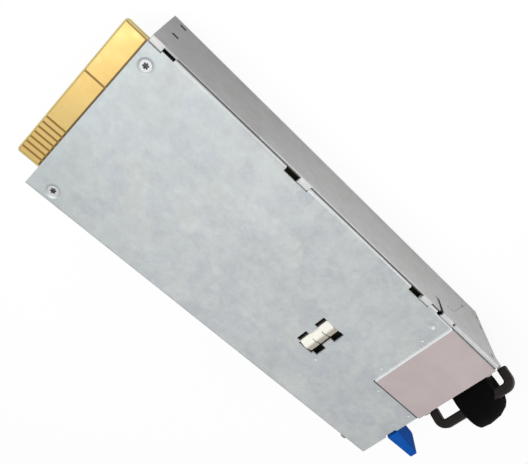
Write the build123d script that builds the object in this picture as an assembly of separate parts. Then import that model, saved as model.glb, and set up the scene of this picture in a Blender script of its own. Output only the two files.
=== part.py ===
"""Hot swap server power supply: a slim sheet steel module with a folding handle, a spring latch,
a fan, a mains inlet and a gold card edge.  Millimetres, +Z up.  The origin is the middle of the
underside: +Y runs to the card edge, -Y to the handle, and the broad seamed face looks up (+Z)."""
from build123d import *
from math import atan2, cos, degrees, pi, radians, sin, tan
import os

# Case
CASE_W = 73.5          # over the two side walls
CASE_L = 185.0         # front bracket to rear wall
CASE_H = 40.0          # underside to the top of the bracket's flange
SHEET = 0.8            # steel thickness of every folded piece
BEND = 0.6             # inside radius of every fold
SEAM = 0.15            # gap between two nested sheets
LAP = 8.0              # height of the chassis lip inside the cover's side wall
COVER_LIP = 6.4        # depth of the cover's lip inside the chassis wall

X_OUT = CASE_W / 2
X_IN = X_OUT - SHEET
Y_REAR = CASE_L / 2
Y_FACE = -CASE_L / 2               # outer face of the fan bracket
Y_FRONT = Y_FACE + SHEET           # outer face of the chassis front wall
Y_FRONT_IN = Y_FRONT + SHEET
Y_REAR_IN = Y_REAR - SHEET
COVER_TOP = CASE_H - SHEET
COVER_UNDER = COVER_TOP - SHEET
WALL_TOP = COVER_UNDER - 0.1       # front and rear walls stop just under the cover
MID_BEND = BEND + SHEET / 2        # fold radius at the sheet's middle

# Seam hooks along the +X edge
HOOK_W = 5.0
HOOK_Y = (Y_FACE + 44.1, 19.6, Y_REAR - HOOK_W - 0.2)   # start of each hook
HOOK_SLIDE = 6.4                   # empty part of the notch left by sliding the cover home
HOOK_REACH = 2.4
HOOK_NOTCH = 0.75                  # the notch reaches this far into the cover past the seam
REAR_NOTCH = 5.0                   # open notch in front of the rear hook
SEAM_X = X_OUT - 2.25              # edge of the cover beside the chassis' front flange
FLANGE_END = Y_FACE + 37.3         # the front flange of the +X wall runs from the front to here
RELIEF_W = 1.9                     # of the tapered relief slot, at its mouth
RELIEF_FOOT = 0.6                  # and at its foot
RELIEF_DEPTH = 9.7

# Fan and its bracket
FAN_SIZE = 38.0
FAN_DEPTH = 28.0
FAN_X = X_OUT - 22.0
FAN_Z = SHEET + 0.1 + FAN_SIZE / 2
FAN_PITCH = FAN_SIZE - 6.0         # between fan screw holes
FAN_BORE_R = FAN_SIZE / 2 - 1.1
FAN_CORNER_R = 3.0
FAN_PLATE = 4.0                    # square end plates of the fan frame
HUB_R = 9.2
BLADES = 7
TIP_GAP = 0.6
SHAFT_R = 1.0
RUN_FIT = 0.05                     # radial running clearance
FLANGE_X0 = FAN_X - FAN_SIZE / 2 - 0.55
FLANGE_X1 = FAN_X + FAN_SIZE / 2 + 0.55
FLANGE_LEN = 29.5                  # of the bracket's flange, from the front face
GUARD_R = FAN_BORE_R - 1.8         # opening in the bracket in front of the fan
GUARD_WEB = 1.4
GUARD_RINGS = (GUARD_R - 4.1, GUARD_R - 8.5)   # middle radius of each finger guard ring

# Mains inlet, a three pole appliance inlet
INLET_X = -X_OUT + 15.95
INLET_Z = 12.4
INLET_W = 27.0
INLET_H = 19.8
INLET_FLANGE_W = 29.6
INLET_FLANGE_H = 22.0
INLET_FLANGE_T = 1.6
INLET_DEPTH = 19.0
SOCKET_W = 24.2
SOCKET_H = 16.2
SOCKET_DEPTH = 16.0
PIN_PITCH = 7.0
PIN_RISE = 4.0                     # the earth pin's height over the line of the other two

# Handle: a moulded bail on two flat steel arms, which turn on two pins
BAIL_X0 = FLANGE_X0 + 0.45
BAIL_X1 = FLANGE_X1 + 1.45
BAIL_BAR = 3.9
BAIL_REACH = 18.6                  # pin to the middle of the grip
BAIL_LEG = 7.8                     # moulded length of each leg, from the middle of the grip
BAIL_CORNER = 3.2
BAIL_TILT = 36.25                  # lean away from the case in the stored pose
ARM_T = 1.5
ARM_W = 3.2
TANG = 4.0                         # length of each arm inside the moulding
TANG_FIT = 0.02
PIVOT_Y = Y_FACE - 3.5
PIVOT_Z = 20.0
EYE_R = 2.9
EAR_R = 2.6
PIN_R = 1.2
EAR_GAP = 0.3

# Cord strap, rolled up round the grip: at each station its x from the bail's left side, its
# middle from the pivot (y, z), and its half width along y and z
STRAP_GAP = 0.3
STRAP_STATIONS = (
    (13.75, -14.4, 8.3, 12.8, 10.5), (18.35, -14.6, 8.3, 13.0, 11.0), (24.35, -13.9, 8.1, 12.4, 11.1),
    (28.35, -13.0, 7.9, 10.9, 10.4), (30.35, -12.5, 7.8, 9.2, 9.2),
)

# Latch: a leaf spring with a catch, and a finger tab on its end
LEAF_T = 0.8
LEAF_Z0 = 30.0
LEAF_Z1 = 36.2
LEAF_PAD_Z0 = 24.5
LEAF_X = -X_IN + 0.95              # middle of the leaf beside the wall
LEAF_ROOT_Y = Y_FACE + 42.5
LEAF_TAIL = 4.0
CATCH_Y = Y_FACE + 10.5
CATCH_OUT = 2.2                    # how far the catch stands out of the wall
TAB_X = -X_OUT + 14.6              # middle of the leaf in the finger tab
TAB_T = 2.9                        # thickness at the tip
TAB_ROOT_T = 5.6                   # thickness at the root
TAB_SKIN = 1.05                    # plastic between the leaf and the tab's flat side
TAB_TIP_Y = Y_FACE - 18.7
TAB_ROOT_Y = Y_FACE - 1.7
TAB_TANG_Y = Y_FACE - 13.5         # end of the leaf inside the tab
TAB_TOP = 37.2
TAB_LOW = 24.1
TAB_CORNER = 1.4

# Board and card edge
BOARD_T = 1.6
BOARD_TOP = 31.6
BOARD_X = X_IN - 1.75
BOARD_Y0 = Y_FACE + 40.5
BOARD_Y1 = Y_REAR_IN - 0.8
CARD_OUT = 9.9                     # how far the card edge stands out of the rear wall
CARD_BEVEL = 0.5
CARD_SLOT = 0.5                    # gap round the card in the rear wall
CONTACT = 2.54                     # contact pitch
SIGNALS = 7
POWER_SPAN = 9                     # pitches taken by each of the two power pads
PAD_GAP = 0.9
PAD_T = 0.08
PAD_LEN = 9.2
PAD_TIP = 0.7                      # bare board between the pads and the card's tip
CARD_SIDE = 0.85                   # bare board beside the outermost pitches
CONTACT_X0 = -(2 * POWER_SPAN + SIGNALS) * CONTACT / 2
CARD_X = CARD_SIDE - CONTACT_X0    # half width of the card edge

# Plate screws and the stand-offs under the board
COVER_SCREWS = ((X_OUT - 9.55, Y_REAR - 4.6), (-X_OUT + 5.05, Y_REAR - 9.2))
STANDOFFS = COVER_SCREWS + (
    (-BOARD_X + 3.2, BOARD_Y0 + 5.6), (BOARD_X - 5.6, BOARD_Y0 + 3.8), (-BOARD_X + 2.8, 18.0),
    (BOARD_X - 4.2, 29.0),
)
STANDOFF_R = 2.9
SCREW_R = 1.5
HEAD_R = 2.7
HEAD_H = 1.8
FLAT_HEAD_R = 2.1                  # cover screws, countersunk below the surface
SINK_R = 3.0                       # mouth of the pressed countersink round them
SINK_DEPTH = 0.3
RECESS_R = 1.15

# Window and nylon board support
WINDOW_X0 = -14.6
WINDOW_X1 = 1.2
WINDOW_Y0 = Y_FACE + 57.9
WINDOW_Y1 = Y_FACE + 65.5
SLOT_W = 2.2
SLOT_L = 5.2
SUPPORT_GAP = 0.25

# Small round dimples pressed into the cover: x, distance from the front face, radius
DIMPLES = (
    (29.6, 35.4, 1.6), (22.3, 32.5, 0.8), (1.1, 32.5, 0.8),
    (-7.5, 24.2, 0.8), (-7.5, 4.4, 0.8), (-15.4, 54.6, 0.8),
)

BOARD_UNDER = BOARD_TOP - BOARD_T
LINER = 0.3


def block(x0, x1, y0, y1, z0, z1):
    """A box between two corners."""
    return Pos((x0 + x1) / 2, (y0 + y1) / 2, (z0 + z1) / 2) * Box(x1 - x0, y1 - y0, z1 - z0)


def rod_x(x0, x1, y, z, r):
    """A cylinder along X."""
    return Pos((x0 + x1) / 2, y, z) * Rot(0, 90, 0) * Cylinder(r, x1 - x0)


def rod_y(x, y0, y1, z, r):
    """A cylinder along Y."""
    return Pos(x, (y0 + y1) / 2, z) * Rot(90, 0, 0) * Cylinder(r, y1 - y0)


def rod_z(x, y, z0, z1, r):
    """A cylinder along Z."""
    return Pos(x, y, (z0 + z1) / 2) * Cylinder(r, z1 - z0)


def fold_y(points, y0, y1, radius=MID_BEND):
    """Folded sheet: an open line of (x, z) points at the sheet's middle, run from y0 to y1."""
    section = trace(FilletPolyline(*points, radius=radius), SHEET)
    return Pos(0, y1, 0) * extrude(Plane.XZ * section, amount=y1 - y0)


def fold_x(points, x0, x1, radius=MID_BEND):
    """Folded sheet: an open line of (y, z) points at the sheet's middle, run from x0 to x1."""
    section = trace(FilletPolyline(*points, radius=radius), SHEET)
    return Pos(x0, 0, 0) * extrude(Plane.YZ * section, amount=x1 - x0)


def lead(points, r, bend):
    """A round insulated wire along straight runs with tangent bends."""
    path = FilletPolyline(*points, radius=bend)
    return sweep(Plane(path @ 0, z_dir=path % 0) * Circle(r), path=path)


def honeycomb(columns, rows, pitch, x, y, z, depth):
    """Hexagonal vent holes in a wall that faces along Y."""
    rise = pitch * cos(radians(30))
    cells = []
    for row in range(rows):
        shift = pitch / 2 if row % 2 else 0.0
        for column in range(columns - (row % 2)):
            cx = x + (column - (columns - 1) / 2) * pitch + shift
            place = Pos(cx, z + (row - (rows - 1) / 2) * rise)
            cells.append(place * RegularPolygon((pitch - 1.0) / 2 / cos(radians(30)), 6, rotation=30))
    return Pos(0, y, 0) * extrude(Plane.XZ * Sketch(cells), amount=depth, both=True)


def hooks():
    """Hooks on top of the +X wall: each steps down and reaches under the cover."""
    made = []
    step = SEAM_X + 0.7
    for y in HOOK_Y:
        y1 = min(y + HOOK_W, Y_REAR)
        over = fold_y([(X_OUT - SHEET / 2, CASE_H / 2), (X_OUT - SHEET / 2, COVER_TOP - SHEET / 2),
                       (step - SHEET, COVER_TOP - SHEET / 2)], y, y1)
        down = block(step - SHEET, step, y, y1, COVER_UNDER - 0.1 - SHEET, COVER_TOP)
        tongue = block(SEAM_X - HOOK_REACH, step, y, y1, COVER_UNDER - 0.1 - SHEET, COVER_UNDER - 0.1)
        made.append(over + down + tongue)
    return made


def side_marks():
    """Slots, the pressed crease and the relief holes of the +X wall."""
    through = X_OUT + 1
    foot = COVER_TOP - RELIEF_DEPTH
    taper = Polygon((FLANGE_END, foot), (FLANGE_END + RELIEF_FOOT, foot), (FLANGE_END + RELIEF_W, COVER_TOP + 1),
                    (FLANGE_END - 0.1, COVER_TOP + 1), align=None)
    cuts = [
        Pos(X_IN - 1, 0, 0) * extrude(Plane.YZ * taper, amount=SHEET + 2),
        rod_z(X_OUT - BEND, Y_FACE + FLANGE_LEN + 0.3, COVER_UNDER - 1, COVER_TOP + 1, 0.75),
    ]
    for distance, z in ((3.9, 35.0), (3.1, 15.0), (2.5, 7.5)):
        y = Y_FACE + distance
        cuts.append(block(X_IN - 1, through, y - 0.5, y + 0.5, z - 1.5, z + 1.5))
    for z in (22.0, 6.0):
        louvre = Polygon((through, z + 1.0), (X_IN - 1, z + 1.0), (X_IN - 1, z - 3.6), (X_OUT, z - 1.0),
                         (through, z - 1.0), align=None)
        cuts.append(Pos(0, Y_REAR - 3.7, 0) * extrude(Plane.XZ * louvre, amount=2.7))
    corner, low = (Y_FACE + 27.2, 28.0), (Y_FACE + 14.5, 10.5)
    run = ((corner[0] - low[0]) ** 2 + (corner[1] - low[1]) ** 2) ** 0.5
    lean = degrees(atan2(corner[1] - low[1], corner[0] - low[0]))
    middle = Pos(X_OUT, (corner[0] + low[0]) / 2, (corner[1] + low[1]) / 2)
    cuts.append(middle * Rot(lean, 0, 0) * Box(0.5, run, 0.7))
    cuts.append(block(X_OUT - 0.25, through, corner[0], corner[0] + 4.8, corner[1] - 0.35, corner[1] + 0.35))
    cuts.append(rod_x(X_IN - 1, through, low[0], low[1], 0.8))
    return cuts


def make_chassis():
    """Floor, +X wall with its hooks and front flange, front wall and rear wall of one folded sheet."""
    floor_x = -X_IN + SEAM + SHEET / 2
    wall_x = X_OUT - SHEET / 2
    line = [(floor_x, LAP), (floor_x, SHEET / 2), (wall_x, SHEET / 2), (wall_x, COVER_TOP)]
    body = fold_y(line, Y_FRONT, Y_REAR)
    wrap = line[:-1] + [(wall_x, COVER_TOP - SHEET / 2), (SEAM_X + SEAM, COVER_TOP - SHEET / 2)]
    body -= block(X_IN - 2, X_OUT + 1, Y_FRONT - 1, FLANGE_END, COVER_TOP - 3, COVER_TOP + 1)
    body += fold_y(wrap, Y_FRONT, FLANGE_END)
    for hook in hooks():
        body += hook

    left = -X_IN + SEAM
    fan_left = FAN_X - FAN_SIZE / 2 - 0.3
    corner = BEND + SHEET
    body -= block(left - 1, fan_left, Y_FRONT - 1, Y_FRONT + corner, -1, LAP + 1)
    front = fold_x([(Y_FRONT + corner, SHEET / 2), (Y_FRONT + SHEET / 2, SHEET / 2),
                    (Y_FRONT + SHEET / 2, WALL_TOP)], left, fan_left)
    front -= block(INLET_X - INLET_W / 2 - 0.1, INLET_X + INLET_W / 2 + 0.1, Y_FRONT - 1, Y_FRONT_IN + 1,
                   INLET_Z - INLET_H / 2 - 0.1, INLET_Z + INLET_H / 2 + 0.1)
    front -= block(TAB_X - 1.6, TAB_X + 4.2, Y_FRONT - 1, Y_FRONT_IN + 1, LEAF_Z0 - 1.0, CASE_H)
    front -= rod_y(LAMP_X, Y_FRONT - 1, Y_FRONT_IN + 1, LAMP_Z, LAMP_R + 0.05)
    for x, z in RIVETS_LEFT:
        front -= rod_y(x, Y_FRONT - 1, Y_FRONT_IN + 1, z, RIVET_R + 0.02)
    body += front
    cheek = block(FAN_X + FAN_SIZE / 2 + 0.3, X_IN + 0.1, Y_FRONT, Y_FRONT_IN, SHEET, COVER_UNDER)
    for x, z in RIVETS_RIGHT:
        cheek -= rod_y(x, Y_FRONT - 1, Y_FRONT_IN + 1, z, RIVET_SMALL_R + 0.02)
    body += cheek

    body -= block(left - 1, X_IN - 0.2, Y_REAR - corner, Y_REAR + 1, -1, LAP + 1)
    rear = fold_x([(Y_REAR - corner, SHEET / 2), (Y_REAR - SHEET / 2, SHEET / 2),
                   (Y_REAR - SHEET / 2, WALL_TOP)], left, X_IN - 0.2)
    rear -= block(-CARD_X - CARD_SLOT, CARD_X + CARD_SLOT, Y_REAR_IN - 1, Y_REAR + 1,
                  BOARD_UNDER - CARD_SLOT, BOARD_TOP + CARD_SLOT)
    rear -= honeycomb(VENT_COLUMNS, VENT_ROWS, VENT_PITCH, 0, Y_REAR - SHEET / 2, VENT_Z, SHEET)
    body += rear
    for cut in side_marks():
        body -= cut
    return body


def make_cover():
    """The broad face and the -X wall of one folded sheet, with a lip inside the +X wall."""
    wall_x = -X_OUT + SHEET / 2
    lip_x = X_IN - SEAM - SHEET / 2
    mid = COVER_TOP - SHEET / 2
    back = fold_y([(wall_x, 0), (wall_x, mid), (lip_x, mid), (lip_x, COVER_TOP - COVER_LIP)],
                  FLANGE_END + RELIEF_W + 0.2, Y_REAR)
    front = fold_y([(wall_x, 0), (wall_x, mid), (SEAM_X, mid)], Y_FRONT, FLANGE_END + RELIEF_W + 0.2)
    body = back + front

    for y in HOOK_Y:
        body -= block(SEAM_X - HOOK_NOTCH, X_OUT, y - 0.2, min(y + HOOK_W + HOOK_SLIDE, Y_REAR + 1),
                      COVER_TOP - 3.2, COVER_TOP + 1)
    body -= block(SEAM_X + 0.1, X_OUT, HOOK_Y[-1] - REAR_NOTCH, HOOK_Y[-1], COVER_TOP - 3.2, COVER_TOP + 1)
    body -= block(X_IN - 3, X_OUT, Y_REAR_IN - 0.15, Y_REAR + 1, COVER_TOP - COVER_LIP - 1, COVER_TOP - 3.1)
    margin = 1.35
    body -= block(FLANGE_X0 + margin, FLANGE_X1 - margin, Y_FRONT - 1, Y_FACE + FLANGE_LEN - 0.55,
                  COVER_UNDER - 1, COVER_TOP + 1)
    body -= block(FLANGE_X0 - 0.1, SEAM_X + 1, Y_FRONT - 1, Y_FRONT + 1.0, COVER_UNDER - 1, COVER_TOP + 1)
    body -= block(TAB_X - 0.7, TAB_X + 5.3, Y_FRONT - 1, Y_FRONT + 0.9, COVER_UNDER - 1, COVER_TOP + 1)

    body -= block(WINDOW_X0, WINDOW_X1, WINDOW_Y0, WINDOW_Y1, COVER_UNDER - 1, COVER_TOP + 1)
    for y0 in (WINDOW_Y0 - SLOT_W, WINDOW_Y1):
        for x0 in (WINDOW_X0 + 1.1, WINDOW_X1 - SLOT_L + 0.2):
            body -= block(x0, x0 + SLOT_L, y0, y0 + SLOT_W, COVER_UNDER - 1, COVER_TOP + 1)

    neck = SHEET - SINK_DEPTH
    for x, y in COVER_SCREWS:
        body -= Pos(x, y, COVER_UNDER + neck / 2) * Cone(SCREW_R + 0.15, FLAT_HEAD_R + 0.15, neck)
        body -= Pos(x, y, COVER_TOP - SINK_DEPTH / 2) * Cone(FLAT_HEAD_R + 0.15, SINK_R, SINK_DEPTH)
    for x, distance, r in DIMPLES:
        ball = r * 1.4
        depth = ball - (ball * ball - r * r) ** 0.5
        body -= Pos(x, Y_FACE + distance, COVER_TOP + ball - depth) * Sphere(ball)
    body -= block(-X_OUT - 1, -X_IN + 0.5, CATCH_Y - 2.4, CATCH_Y + 9.4, LEAF_Z0 - 0.8, LEAF_Z1 + 0.8)
    for z in LEAF_RIVET_Z:
        body -= rod_x(-X_OUT - 1, -X_IN + 1, LEAF_ROOT_Y, z, RIVET_R + 0.02)
    return body


RIVET_R = 1.1
RIVET_HEAD_R = 1.9
RIVET_HEAD_H = 0.6
RIVETS_LEFT = ((-6.6, 27.6), (-6.6, 35.2))
RIVETS_RIGHT = ((34.95, 6.0), (34.95, 34.0))
RIVET_SMALL_R = 0.65
LEAF_RIVET_Z = (27.0, 33.4)
LAMP_X = -10.6
LAMP_Z = 33.4
LAMP_R = 1.4
VENT_COLUMNS = 14
VENT_ROWS = 6
VENT_PITCH = 4.5
VENT_Z = 15.5


def make_fan_bracket():
    """Front bracket: face with a finger guard, a flange over the fan and two ears for the handle."""
    mid_y = Y_FACE + SHEET / 2
    mid_z = CASE_H - SHEET / 2
    body = fold_x([(mid_y, 1.0), (mid_y, mid_z), (Y_FACE + FLANGE_LEN, mid_z)], FLANGE_X0, FLANGE_X1, 0.7)
    body += block(FLANGE_X1 - 0.1, X_OUT - 0.85, Y_FACE, Y_FRONT, 1.0, COVER_UNDER - 0.6)
    body += block(FLANGE_X0 - 3.4, FLANGE_X0 + 0.1, Y_FACE, Y_FRONT, LEAF_PAD_Z0 + 0.3, WALL_TOP - 0.8)

    guard = Plane.XZ * Pos(FAN_X, FAN_Z) * Circle(GUARD_R)
    for radius in GUARD_RINGS:
        ring = Circle(radius + GUARD_WEB / 2) - Circle(radius - GUARD_WEB / 2)
        guard -= Plane.XZ * Pos(FAN_X, FAN_Z) * ring
    guard -= Plane.XZ * Pos(FAN_X, FAN_Z) * Circle(GUARD_RINGS[-1] / 2)
    for turn in (45, 135):
        guard -= Plane.XZ * Pos(FAN_X, FAN_Z) * Rot(0, 0, turn) * Rectangle(2 * GUARD_R + 1, GUARD_WEB * 1.2)
    body -= Pos(0, Y_FRONT + 0.5, 0) * extrude(guard, amount=SHEET + 1)

    for x, z in fan_holes():
        body -= rod_y(x, Y_FACE - 1, Y_FRONT + 1, z, SCREW_R + 0.1)
    for x, z, r in rivet_places():
        body -= rod_y(x, Y_FACE - 1, Y_FRONT + 1, z, r + 0.02)
    for x0 in ear_sides():
        ear = block(x0, x0 + SHEET, PIVOT_Y, Y_FACE + SHEET / 2, PIVOT_Z - EAR_R, PIVOT_Z + EAR_R)
        ear += rod_x(x0, x0 + SHEET, PIVOT_Y, PIVOT_Z, EAR_R)
        ear -= rod_x(x0 - 1, x0 + SHEET + 1, PIVOT_Y, PIVOT_Z, PIN_R + RUN_FIT)
        body += ear
    return body


def ear_sides():
    """Left x of each of the bracket's two ears, which stand on the left of the handle's arms."""
    return [x0 - EAR_GAP - SHEET for x0, x1 in arm_sides()]


def fan_holes():
    """Places of the four fan screws, as (x, z)."""
    half = FAN_PITCH / 2
    return [(FAN_X + sx * half, FAN_Z + sz * half) for sx in (-1, 1) for sz in (-1, 1)]


def rivet_places():
    """Places and shank radii of the bracket's rivets, as (x, z, r)."""
    return [(x, z, RIVET_R) for x, z in RIVETS_LEFT] + [(x, z, RIVET_SMALL_R) for x, z in RIVETS_RIGHT]


def make_bracket_rivets():
    """Four rivets that hold the bracket to the front wall."""
    made = []
    for x, z, r in rivet_places():
        shank = rod_y(x, Y_FACE, Y_FRONT_IN, z, r)
        made.append(shank + rod_y(x, Y_FACE - RIVET_HEAD_H, Y_FACE, z, r + 0.5))
    return Compound(children=made)


def make_cover_screws():
    """Two countersunk screws with star recesses through the cover into the stand-offs."""
    made = []
    neck = SHEET - SINK_DEPTH
    for x, y in COVER_SCREWS:
        head = Pos(x, y, COVER_UNDER + neck / 2) * Cone(SCREW_R, FLAT_HEAD_R, neck)
        screw = head + rod_z(x, y, COVER_UNDER - 3.0, COVER_UNDER, SCREW_R - 0.05)
        for turn in (0, 60, 120):
            screw -= Pos(x, y, COVER_UNDER + neck / 2) * Rot(0, 0, turn) * Box(2 * RECESS_R, 0.7, neck + 0.8)
        made.append(screw)
    return Compound(children=made)


def make_board_standoffs():
    """Hexagonal stand-offs between the cover and the board."""
    made = []
    for x, y in STANDOFFS:
        nut = Pos(x, y, BOARD_TOP) * extrude(RegularPolygon(STANDOFF_R, 6), amount=COVER_UNDER - BOARD_TOP)
        made.append(nut - rod_z(x, y, BOARD_TOP - 1, COVER_UNDER + 1, SCREW_R))
    return Compound(children=made)


def make_board_screws():
    """Pan head screws through the board into the stand-offs."""
    made = []
    for x, y in STANDOFFS:
        head = rod_z(x, y, BOARD_UNDER - HEAD_H, BOARD_UNDER, HEAD_R)
        head -= Pos(x, y, BOARD_UNDER - HEAD_H) * Box(3.0, 0.7, 1.2)
        made.append(head + rod_z(x, y, BOARD_UNDER, BOARD_TOP + 3.0, SCREW_R - 0.05))
    return Compound(children=made)


def make_cover_insulator():
    """Insulating sheet on the cover's inner face, cut out round the stand-offs and the window."""
    sheet = block(-BOARD_X, BOARD_X - 0.6, BOARD_Y0 + 9.6, BOARD_Y1 - 1.0, COVER_UNDER - LINER, COVER_UNDER)
    for x, y in STANDOFFS:
        sheet -= rod_z(x, y, COVER_UNDER - 1, COVER_UNDER + 1, STANDOFF_R + 0.6)
    sheet -= block(WINDOW_X0 - 2, WINDOW_X1 + 2, WINDOW_Y0 - 4, WINDOW_Y1 + 4, COVER_UNDER - 1, COVER_UNDER + 1)
    for y in HOOK_Y:
        sheet -= block(SEAM_X - HOOK_REACH - 0.6, X_OUT, y - 1, y + HOOK_W + 1, COVER_UNDER - 1, COVER_UNDER + 1)
    return sheet


def make_floor_liner():
    """Insulating sheet on the floor under the parts."""
    return block(-X_IN + SEAM + SHEET + 0.6, X_IN - 1.0, FAN_END + 2, BOARD_Y1 - 2, SHEET, SHEET + LINER)


FAN_END = Y_FRONT + FAN_DEPTH


def make_board_support():
    """Nylon support between board and cover: a gabled block in three segments in the window."""
    x0, x1 = WINDOW_X0 + SUPPORT_GAP, WINDOW_X1 - SUPPORT_GAP
    y0, y1 = WINDOW_Y0 + SUPPORT_GAP, WINDOW_Y1 - SUPPORT_GAP
    ridge = (y0 + y1) / 2 - 0.6
    eave, top = COVER_UNDER - 0.6, COVER_TOP - 0.2
    outline = Polygon((y0, BOARD_TOP), (y1, BOARD_TOP), (y1, eave), (ridge + 0.9, top), (ridge, top),
                      (y0, eave), align=None)
    body = Pos(x0, 0, 0) * extrude(Plane.YZ * outline, amount=x1 - x0)
    third = (x1 - x0) / 3
    for step in (1, 2):
        x = x0 + step * third
        body -= block(x - 0.2, x + 0.2, y0 - 1, ridge + 1.6, COVER_UNDER - 1.8, COVER_TOP)
    for side in (x0, x1 - 1.4):
        body += block(side, side + 1.4, y0 + 1.6, y1 - 1.6, BOARD_UNDER - 1.4, BOARD_TOP)
    return body


def make_ac_inlet():
    """Appliance inlet: flanged shroud with a keyed socket, a back block and two snap lugs."""
    face = Y_FRONT - INLET_FLANGE_T
    body = block(INLET_X - INLET_FLANGE_W / 2, INLET_X + INLET_FLANGE_W / 2, face, Y_FRONT,
                 INLET_Z - INLET_FLANGE_H / 2, INLET_Z + INLET_FLANGE_H / 2)
    body = fillet(body.edges().filter_by(Axis.Y), 2.0)
    body += block(INLET_X - INLET_W / 2, INLET_X + INLET_W / 2, Y_FRONT, Y_FRONT + INLET_DEPTH,
                  INLET_Z - INLET_H / 2, INLET_Z + INLET_H / 2)
    half_w, half_h, cut = SOCKET_W / 2, SOCKET_H / 2, 4.6
    mouth = Polygon((-half_w, -half_h), (half_w, -half_h), (half_w, half_h - cut), (half_w - cut, half_h),
                    (-half_w + cut, half_h), (-half_w, half_h - cut), align=None)
    mouth = fillet(mouth.vertices(), 1.0)
    socket = Pos(INLET_X, face + SOCKET_DEPTH, INLET_Z) * extrude(Plane.XZ * mouth, amount=SOCKET_DEPTH + 1)
    body -= socket
    for pin in pin_places():
        body -= block(pin[0] - 1.05, pin[0] + 1.05, face + SOCKET_DEPTH - 1, Y_FRONT + INLET_DEPTH + 1,
                      pin[1] - 2.05, pin[1] + 2.05)
    for side in (-1, 1):
        x = INLET_X + side * (INLET_W / 2 - 0.05)
        lug = Polygon((0, Y_FRONT_IN + 0.1), (side * 0.9, Y_FRONT_IN + 0.1), (0, Y_FRONT_IN + 6), align=None)
        body += Pos(x, 0, INLET_Z - 3) * extrude(lug, amount=6, dir=(0, 0, 1))
    return body


def pin_places():
    """Places of line, neutral and earth, as (x, z)."""
    low = INLET_Z - PIN_RISE / 2
    return [(INLET_X - PIN_PITCH, low), (INLET_X + PIN_PITCH, low), (INLET_X, low + PIN_RISE)]


def make_inlet_pins():
    """Three flat blades with solder tails, and a flange each that stops them in the back block."""
    made = []
    for number, (x, z) in enumerate(pin_places()):
        tip = Y_FRONT - INLET_FLANGE_T + (1.6 if number == 2 else 2.4)
        blade = block(x - 1.0, x + 1.0, tip, Y_FRONT + INLET_DEPTH + 5, z - 2.0, z + 2.0)
        nose = blade.faces().sort_by(Axis.Y)[0].edges()
        made.append(chamfer(nose, 0.5))
    return Compound(children=made)


def make_inlet_leads():
    """Three insulated leads from the inlet's tails up to the front edge of the board."""
    made = []
    start = Y_FRONT + INLET_DEPTH + 5
    for (x, z), land in zip(pin_places(), (-27.0, -17.0, -22.0)):
        made.append(lead([(x, start, z), (x, start + 6.5, z), (land, BOARD_Y0 + 1.6, z + 5),
                          (land, BOARD_Y0 + 1.6, BOARD_UNDER)], 1.2, 2.6))
    return Compound(children=made)


def make_light_pipe():
    """Clear rod that carries the status light from the board to the front wall."""
    rod = rod_y(LAMP_X, Y_FRONT - 0.8, BOARD_Y0 + 1.4, LAMP_Z, LAMP_R)
    return fillet(rod.edges().sort_by(Axis.Y)[0], 0.5)


def make_status_led():
    """Side view lamp on the board behind the light pipe."""
    return block(LAMP_X - 1.5, LAMP_X + 1.5, BOARD_Y0 + 1.5, BOARD_Y0 + 4.0, BOARD_TOP, LAMP_Z + LAMP_R)


def make_release_tab():
    """Finger tab pushed over the leaf's end: a blade that tapers to its tip, ribbed on its flat side."""
    flat = TAB_X - LEAF_T / 2 - TAB_SKIN
    plan = Polygon((flat, TAB_TIP_Y), (flat + TAB_T, TAB_TIP_Y), (flat + TAB_ROOT_T, TAB_ROOT_Y),
                   (flat, TAB_ROOT_Y), align=None)
    body = Pos(0, 0, TAB_LOW) * extrude(plan, amount=TAB_TOP - TAB_LOW)
    tip = body.faces().sort_by(Axis.Y)[0]
    body = fillet(tip.edges().filter_by(Axis.X), TAB_CORNER)
    body -= block(TAB_X - LEAF_T / 2 - 0.04, TAB_X + LEAF_T / 2 + 0.04, TAB_TANG_Y - 0.04, TAB_ROOT_Y + 1,
                  LEAF_Z0 - 0.04, LEAF_Z1 + 0.04)
    for number in range(4):
        y = TAB_TIP_Y + 4.0 + 2.2 * number
        body += block(flat - 0.35, flat + 0.1, y - 0.4, y + 0.4, LEAF_Z0 - 3.0, TAB_TOP - 1.6)
    return body


def make_latch_leaf():
    """Leaf spring: a riveted pad, a straight arm, the catch, a crank and the tang in the tab."""
    out = -X_OUT - CATCH_OUT + LEAF_T / 2
    line = Polyline((TAB_X, TAB_TANG_Y), (TAB_X, Y_FACE + 3.9), (LEAF_X + 2.0, CATCH_Y - 1.4), (out, CATCH_Y),
                    (out, CATCH_Y + 1.6), (LEAF_X, CATCH_Y + 8.0), (LEAF_X, LEAF_ROOT_Y + LEAF_TAIL))
    strip = Pos(0, 0, LEAF_Z0) * extrude(trace(line, LEAF_T), amount=LEAF_Z1 - LEAF_Z0)
    pad = block(LEAF_X - LEAF_T / 2, LEAF_X + LEAF_T / 2, LEAF_ROOT_Y - LEAF_TAIL, LEAF_ROOT_Y + LEAF_TAIL,
                LEAF_PAD_Z0, LEAF_Z1)
    body = strip + pad
    for z in LEAF_RIVET_Z:
        body -= rod_x(LEAF_X - 2, LEAF_X + 2, LEAF_ROOT_Y, z, RIVET_R + 0.3)
    return body


def make_latch_rivets():
    """Two rivets with washers that hold the leaf's pad to the cover's side wall."""
    made = []
    for z in LEAF_RIVET_Z:
        inner = LEAF_X + LEAF_T / 2 + 0.4
        rivet = rod_x(-X_OUT, inner + 0.6, LEAF_ROOT_Y, z, RIVET_R)
        rivet += rod_x(inner, inner + 0.6, LEAF_ROOT_Y, z, RIVET_HEAD_R + 0.3)
        made.append(rivet + rod_x(-X_OUT - 0.3, -X_OUT, LEAF_ROOT_Y, z, RIVET_HEAD_R))
    return Compound(children=made)


def to_bail(shape):
    """Moves a shape drawn upright on the pins to the handle's stored lean."""
    return Pos(0, PIVOT_Y, PIVOT_Z) * Rot(BAIL_TILT, 0, 0) * shape


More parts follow.
